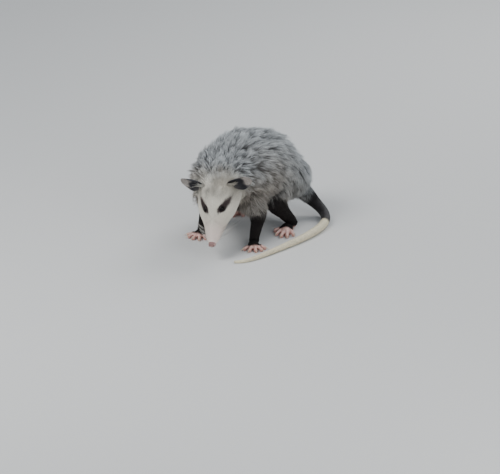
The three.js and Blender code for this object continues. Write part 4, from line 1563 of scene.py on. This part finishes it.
# %% Long coat
# Where the coat stands higher or lower: share and angle on the trunk, and how much
SWELLS = [(0.56, 1.45, 7), (0.56, 2.3, -5), (0.07, 2.9, 8), (0.18, -0.9, 12), (0.18, -2.2, 12)]
TRUNK_TUFT = 1.35


def unroll_on(part):
    """Makes a function that unrolls a part: round it is across the map, along it is up."""
    def unroll(found):
        share, angle = found[part][:2]
        return np.stack([angle / (2 * math.pi), share], axis=1)

    return unroll


def trunk_size(roots, found, weights):
    share, angle, _ = found["trunk"]
    length = mix(34, 40, blend(np.sin(angle), -0.9, 0.1)) * mix(0.72, 1, blend(share, 0.0, 0.25))
    length = length * mix(1, 0.55, blend(share, 0.85, 1))
    height = skin_depth(share, angle) * mix(1.4, 0.92, blend(np.sin(angle), -0.9, 0.2))
    for at_share, at_angle, extra in SWELLS:
        apart = np.abs((angle - at_angle + math.pi) % (2 * math.pi) - math.pi)
        swell = dent(share - at_share, 0.13) * dent(apart, 0.5)
        height = height + extra * swell
        length = length + max(extra, 0) * swell
    return length, height, np.full(len(roots), TRUNK_TUFT)


trunk_names = ["coat_neck", "coat_shoulders", "coat_back", "coat_loins", "coat_rump"]
trunk_style = {
    "size": trunk_size, "split": ("trunk", 0), "unroll": unroll_on("trunk"),
    "steps": 4, "bow": 1.25, "sunk": 0.8, "stray": 0.2, "under": 0.22, "guard": 0.08,
    "clump_share": 0.045, "clump": 0.88, "lift": 1.55, "vary": 0.7, "pale": (0.35, 0.9),
}
trunk_density = 0.34 * blend(weight_of("trunk"), 0.25, 0.6)
grow_coat(trunk_names, trunk_density, 101, trunk_style)

# %% [markdown]
# ## Head, legs and feet
# The hair grows longer from the muzzle to the cheeks, where it stands out as a short ruff. It
# grows shorter down the legs, and on the feet and behind the root of the tail it is close.

# %% Coat of the head
# Stages of growth towards the nape: how much more, and between which depths behind the nose
LONGER = [(2.7, 10, 60), (5, 78, 104), (13, 98, 125)]
HIGHER = [(0.4, 15, 60), (1.2, 78, 104), (5, 100, 125)]
WIDER = [(0.2, 25, 80), (0.5, 92, 118)]


def grown(start, stages, back):
    for more, first, last in stages:
        start = start + more * blend(back, first, last)
    return start


def head_size(roots, found, weights):
    p = to_head(roots)
    back = -p[:, 2]
    cheek = blend(np.abs(p[:, 0]), 18, 32) * blend(back, 88, 112) * blend(-p[:, 1], -16, 4)
    length = grown(1.8, LONGER, back) + 10 * cheek
    height = grown(0.4, HIGHER, back) + 8 * cheek
    short = mix(0.45, 1, blend(eye_distance(p), EYE["radius"] + 1.5, EYE["radius"] + 7))
    return length * short, height * short, grown(0.3, WIDER, back)


back_of_head = -head_own[:, 2]
eye_gap = eye_distance(head_own) - EYE["radius"]
off_mouth = np.abs(head_own[:, 1] - mouth_height(back_of_head))
on_lips = (off_mouth < 1.0) & (mouth_open(back_of_head) > 0.3)
on_face = blend(weight_of("head"), 0.35, 0.6) * (back_of_head > 8.5) * (eye_gap > 1.6) * ~on_lips
face_density = (1.75 - 1.0 * blend(back_of_head, 60, 112)) * on_face
face_style = {
    "size": head_size, "split": ("head", 0), "unroll": unroll_on("head"),
    "steps": 3, "bow": 1.4, "sunk": 0.2, "stray": 0.2, "under": 0.1, "guard": 0.04,
    "clump_share": 0.07, "clump": 0.4, "lift": 1.2, "vary": 0.3, "pale": (0.0, 0.6),
}
grow_coat(["coat_face", "coat_cheeks"], face_density, 211, face_style)

# %% Coat of the legs
def leg_size(roots, found, weights):
    upper = weights[:, PARTS.index("upper")]
    down = blend(found["upper"][0], 0.3, 0.9)
    length = mix(7.5, mix(30, 15, down), upper)
    height = mix(1.4, mix(10, 4.5, down), upper)
    return length, height, mix(0.8, 1.2, upper)


def unroll_legs(found):
    """Each length of leg has its own column of the map."""
    is_upper = found["upper"][2] < found["lower"][2]
    share, angle, _, limb = (
        np.where(is_upper, upper, lower) for upper, lower in zip(found["upper"], found["lower"])
    )
    across = limb + 0.08 + 0.84 * (angle / (2 * math.pi) + 0.5)
    return np.stack([across / len(leg_lines), share], axis=1)


leg_style = {
    "size": leg_size, "split": ("upper", 3), "unroll": unroll_legs,
    "steps": 3, "bow": 1.4, "sunk": 0.4, "stray": 0.2, "under": 0.2, "guard": 0.06,
    "clump_share": 0.07, "clump": 0.5, "lift": 1.25, "vary": 0.4, "pale": (0.1, 0.8),
}
leg_density = 0.32 * blend(weight_of("upper"), 0.3, 0.6)
leg_density += 0.5 * blend(weight_of("lower"), 0.3, 0.6)
grow_coat(["coat_forelegs", "coat_hindlegs"], leg_density, 307, leg_style)

# %% Coat of the feet
def foot_size(roots, found, weights):
    back = 1 - blend(found["foot"][0], 0.45, 0.72)
    return 2.4 + 3.0 * back, 0.5 + 0.5 * back, 0.5 + 0.2 * back


def unroll_feet(found):
    """Each foot has its own column of the map."""
    along, across, _, index = found["foot"]
    column = index + 0.5 + 0.4 * np.clip(across / 2, -1, 1)
    return np.stack([column / len(foot_places), along], axis=1)


foot_style = {
    "size": foot_size, "split": ("foot", 3), "unroll": unroll_feet,
    "steps": 2, "bow": 1.5, "sunk": 0.2, "stray": 0.2, "under": 0.1, "guard": 0,
    "clump_share": 0.1, "clump": 0.25, "lift": 1.1, "vary": 0.2, "pale": (0.0, 0.8),
}
hairy = (toe_reach(skin_found["foot"]) < 0.70) * (skin_mm[:, 2] > 7)
grow_coat(["coat_feet"], 0.8 * blend(weight_of("foot"), 0.4, 0.6) * hairy, 401, foot_style)

# %% Coat of the tail's root
def tail_root_size(roots, found, weights):
    near = 1 - blend(found["tail"][0], 0.0, 0.12)
    return 3 + 13 * near, 0.7 + 2.6 * near, 0.6 + 0.5 * near


tail_style = {
    "size": tail_root_size, "split": ("tail", 0), "unroll": unroll_on("tail"),
    "steps": 3, "bow": 1.6, "sunk": 0.3, "stray": 0.2, "under": 0.15, "guard": 0.05,
    "clump_share": 0.08, "clump": 0.3, "lift": 1.15, "vary": 0.2, "pale": (0.1, 0.8),
}
tail_density = 0.45 * blend(weight_of("tail"), 0.3, 0.6)
tail_density = tail_density * (1 - blend(skin_found["tail"][0], 0.08, 0.16))
grow_coat(["coat_tail_root"], tail_density, 503, tail_style)

# %% [markdown]
# ## Eyes
# The eyeballs are smooth, wet and almost black: in a night animal the pupil fills the eye.

# %% Eyes
# How far the middle of the front bulges out of the ball
BULGE = 0.35
eye_gloss = new_finish("eye_gloss", 0.04, Specular_IOR_Level=0.14)
place = add_node(eye_gloss, "TexCoord")
iris = add_node(eye_gloss, "TexNoise", Scale=900.0, Detail=2.0)
ramp = add_node(eye_gloss, "ValToRGB")
ramp.color_ramp.elements[0].color = (0.001, 0.001, 0.001, 1)
ramp.color_ramp.elements[1].color = (0.006, 0.004, 0.003, 1)
join_nodes(eye_gloss, place.outputs["Object"], iris.inputs["Vector"])
join_nodes(eye_gloss, iris.outputs["Fac"], ramp.inputs["Fac"])
join_nodes(eye_gloss, ramp.outputs["Color"], shader_of(eye_gloss).inputs["Base Color"])
for name, _ in SIDES:
    eye = oval("eyeball_" + name, (0, 0, 0), (EYE["radius"],) * 3, segments=48, rings=32)
    normal = HEAD_AXES @ eye_normals[name]
    points = read_points(eye)
    front = np.maximum(points @ normal, 0) / EYE["radius"]
    points += normal * (BULGE * front**3)[:, None]
    write_points(eye, points * MM + eye_middles[name] * MM)
    eye.data.polygons.foreach_set("use_smooth", np.ones(len(eye.data.polygons), bool))
    eye.data.materials.append(eye_gloss)
    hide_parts("eye_" + name)
    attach(eye, "root")
print("eyes at", {name: np.round(middle, 1).tolist() for name, middle in eye_middles.items()})

# %% [markdown]
# ## Claws and whiskers
# The claws are pale horn. The whiskers stand in rows on the swellings of the upper lip, and
# each is a long thin spike of three sides.

# %% Claws
HORN_COLOUR = linear(206, 186, 160)
pick(*claw_forms)
bpy.ops.object.join()
claws = bpy.context.object
claws.name = "claws"
points = read_points(claws)
points[:, 2] = np.maximum(points[:, 2], 0.05)
write_points(claws, to_room(points))
claws.data.polygons.foreach_set("use_smooth", np.ones(len(claws.data.polygons), bool))
horn = new_finish("horn", 0.35, Subsurface_Weight=0.05, Subsurface_Scale=0.001)
give_tone(claws, np.tile(HORN_COLOUR, (len(points), 1)))
tone_with_grain(horn, scale=400, amount=0.12, stretch=(1, 1, 3))
claws.data.materials.append(horn)
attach(claws, "root")
print("claws", triangles(claws), "triangles")

# %% Where the whiskers stand
WHISKER_ROWS, IN_A_ROW = 5, 6
draw = np.random.default_rng(77)
whisker_roots = []
for _, sign in SIDES:
    for row in range(WHISKER_ROWS):
        for k in range(IN_A_ROW):
            height = 3.2 - 2.0 * row + 0.5 * draw.random()
            back = 13 + 4.2 * k + 1.6 * (row % 2) + draw.random()
            whisker_roots.append((sign, row, k, height, back))
print(len(whisker_roots), "whiskers")

# %% Whiskers
# Lengths of the first and the last in a row, width at the root and points along each
SHORTEST, LONGEST, WHISKER_WIDTH, KNOTS = 17, 40, 0.34, 8


def whisker_line(sign, row, k, height, back):
    """From the skin of the lip out to the side and back, bending down and further back."""
    start = from_head(np.array([[sign * 24, height, -back]]))[0]
    inward = unit(from_head(np.array([[0, height - 1, -back]]))[0] - start)
    root = np.array(tree.ray_cast(Vector(start), Vector(inward))[0])
    upward = 0.12 - 0.16 * row + 0.08 * draw.random()
    backward = 0.55 + 0.12 * draw.random()
    way = unit(HEAD_AXES @ np.array([sign * 1.0, upward, -backward]))
    span = mix(SHORTEST, LONGEST, k / (IN_A_ROW - 1)) * mix(0.85, 1.15, draw.random())
    bend = HEAD_AXES @ np.array([0, -0.10 - 0.1 * draw.random(), -0.28])
    t = np.linspace(0, 1, KNOTS)
    line = root - way * 0.8 + way * (t * span)[:, None] + bend * (t**2 * span)[:, None]
    line[:, 2] = np.maximum(line[:, 2], 2)
    return line


spines = np.array([whisker_line(*root) for root in whisker_roots])
count = len(spines)
normals = np.tile(HEAD_AXES[:, 1], (count, KNOTS, 1))
whisker_hair = new_finish("whisker_hair", 0.4)
tone_with_grain(whisker_hair, scale=300, amount=0.1)
pale = np.array([draw.random() < 0.6 for _ in range(count)])[:, None]
tones = np.where(pale, linear(214, 210, 202), linear(40, 36, 36))
whiskers = build_tufts(
    "whiskers", spines, normals, np.full(count, WHISKER_WIDTH), (tones, tones),
    draw.random((count, 2)), whisker_hair, flat=0.8,
)
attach(whiskers, "root")
print("whiskers", triangles(whiskers), "triangles")

# %% [markdown]
# ## What stands for what
# The skin takes the place of every node of flesh. All pieces move with the one body.

# %% Hand over from the solids
FLESH = [name for name in sorted(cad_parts) if not name.startswith("eye_")]
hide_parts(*FLESH)
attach(skin, "root")
for piece in coat_pieces:
    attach(piece, "root")
print("coat triangles", sum(triangles(piece) for piece in coat_pieces), "skin", triangles(skin))

# %% [markdown]
# ## Floor, light and camera
# A pale floor and broad lights, as in a studio. The camera looks at the nose from 20 degrees to
# the animal's left and 20 degrees above, from far away, as in the picture.

# %% Floor
FLOOR_WIDTH, FLOOR_DROP = 12, 0.0002
deselect()
bpy.ops.mesh.primitive_plane_add(size=1, location=(0, 0, 0))
floor = bpy.context.object
floor.name = "floor"
floor_points = read_points(floor) * FLOOR_WIDTH
floor_points[:, 2] = -FLOOR_DROP
write_points(floor, floor_points)
floor_paint = new_finish("floor_paint", 0.9)
shader_of(floor_paint).inputs["Base Color"].default_value = (0.62, 0.62, 0.61, 1)
floor.data.materials.append(floor_paint)
floor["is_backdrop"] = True
print("floor", FLOOR_WIDTH, "m wide")

# %% Light
# The lamps look at the middle of the animal
LIT_PLACE = Vector((0, 0, 0.08))
world = bpy.data.worlds.new("studio")
world.use_nodes = True
sky = world.node_tree.nodes["Background"].inputs
sky["Color"].default_value = (0.80, 0.87, 0.95, 1)
sky["Strength"].default_value = 0.55
bpy.context.scene.world = world


def soft_light(name, place, size, power):
    light = bpy.data.lights.new(name, "AREA")
    light.shape = "DISK"
    light.size = size
    light.energy = power
    lamp = bpy.data.objects.new(name, light)
    bpy.context.scene.collection.objects.link(lamp)
    lamp.location = place
    lamp.rotation_euler = (LIT_PLACE - Vector(place)).to_track_quat("-Z", "Y").to_euler()


soft_light("key", (-0.9, -1.3, 1.7), size=1.1, power=34)
soft_light("fill", (1.6, -1.1, 0.9), size=1.4, power=16)
soft_light("rim", (0.5, 1.7, 1.5), size=1.2, power=22)
print("lamps:", sorted(light.name for light in bpy.data.lights))

# %% Camera
# Metres to a pixel at the nose, and where the nose is in the picture
AZIMUTH, ELEVATION, DISTANCE = math.radians(20), math.radians(20), 9.0
SCALE = 1.95 * MM
PICTURE = (500, 474)
NOSE_IN_PICTURE = (211.6, 246.0)
right = Vector((math.cos(AZIMUTH), math.sin(AZIMUTH), 0))
back = Vector((
    math.sin(AZIMUTH) * math.cos(ELEVATION),
    -math.cos(AZIMUTH) * math.cos(ELEVATION),
    math.sin(ELEVATION),
))
upward = back.cross(right)
aim = Vector(to_room(NOSE_TIP))
aim += right * (PICTURE[0] / 2 - NOSE_IN_PICTURE[0]) * SCALE
aim += upward * (NOSE_IN_PICTURE[1] - PICTURE[1] / 2) * SCALE
camera = bpy.data.cameras.new("camera")
camera.sensor_width = 36
camera.lens = DISTANCE * camera.sensor_width / (PICTURE[0] * SCALE)
camera.clip_end = 100
view = bpy.data.objects.new("camera", camera)
bpy.context.scene.collection.objects.link(view)
view.location = aim + back * DISTANCE
view.rotation_euler = (-back).to_track_quat("-Z", "Y").to_euler()
bpy.context.scene.camera = view
print("lens %.0f mm" % camera.lens)

# %% [markdown]
# ## Size
# The dressed model may stand out of the solids' box only a little.

# %% Size
low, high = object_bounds()
print("visual box", [round(v, 4) for v in (*low, *high)])
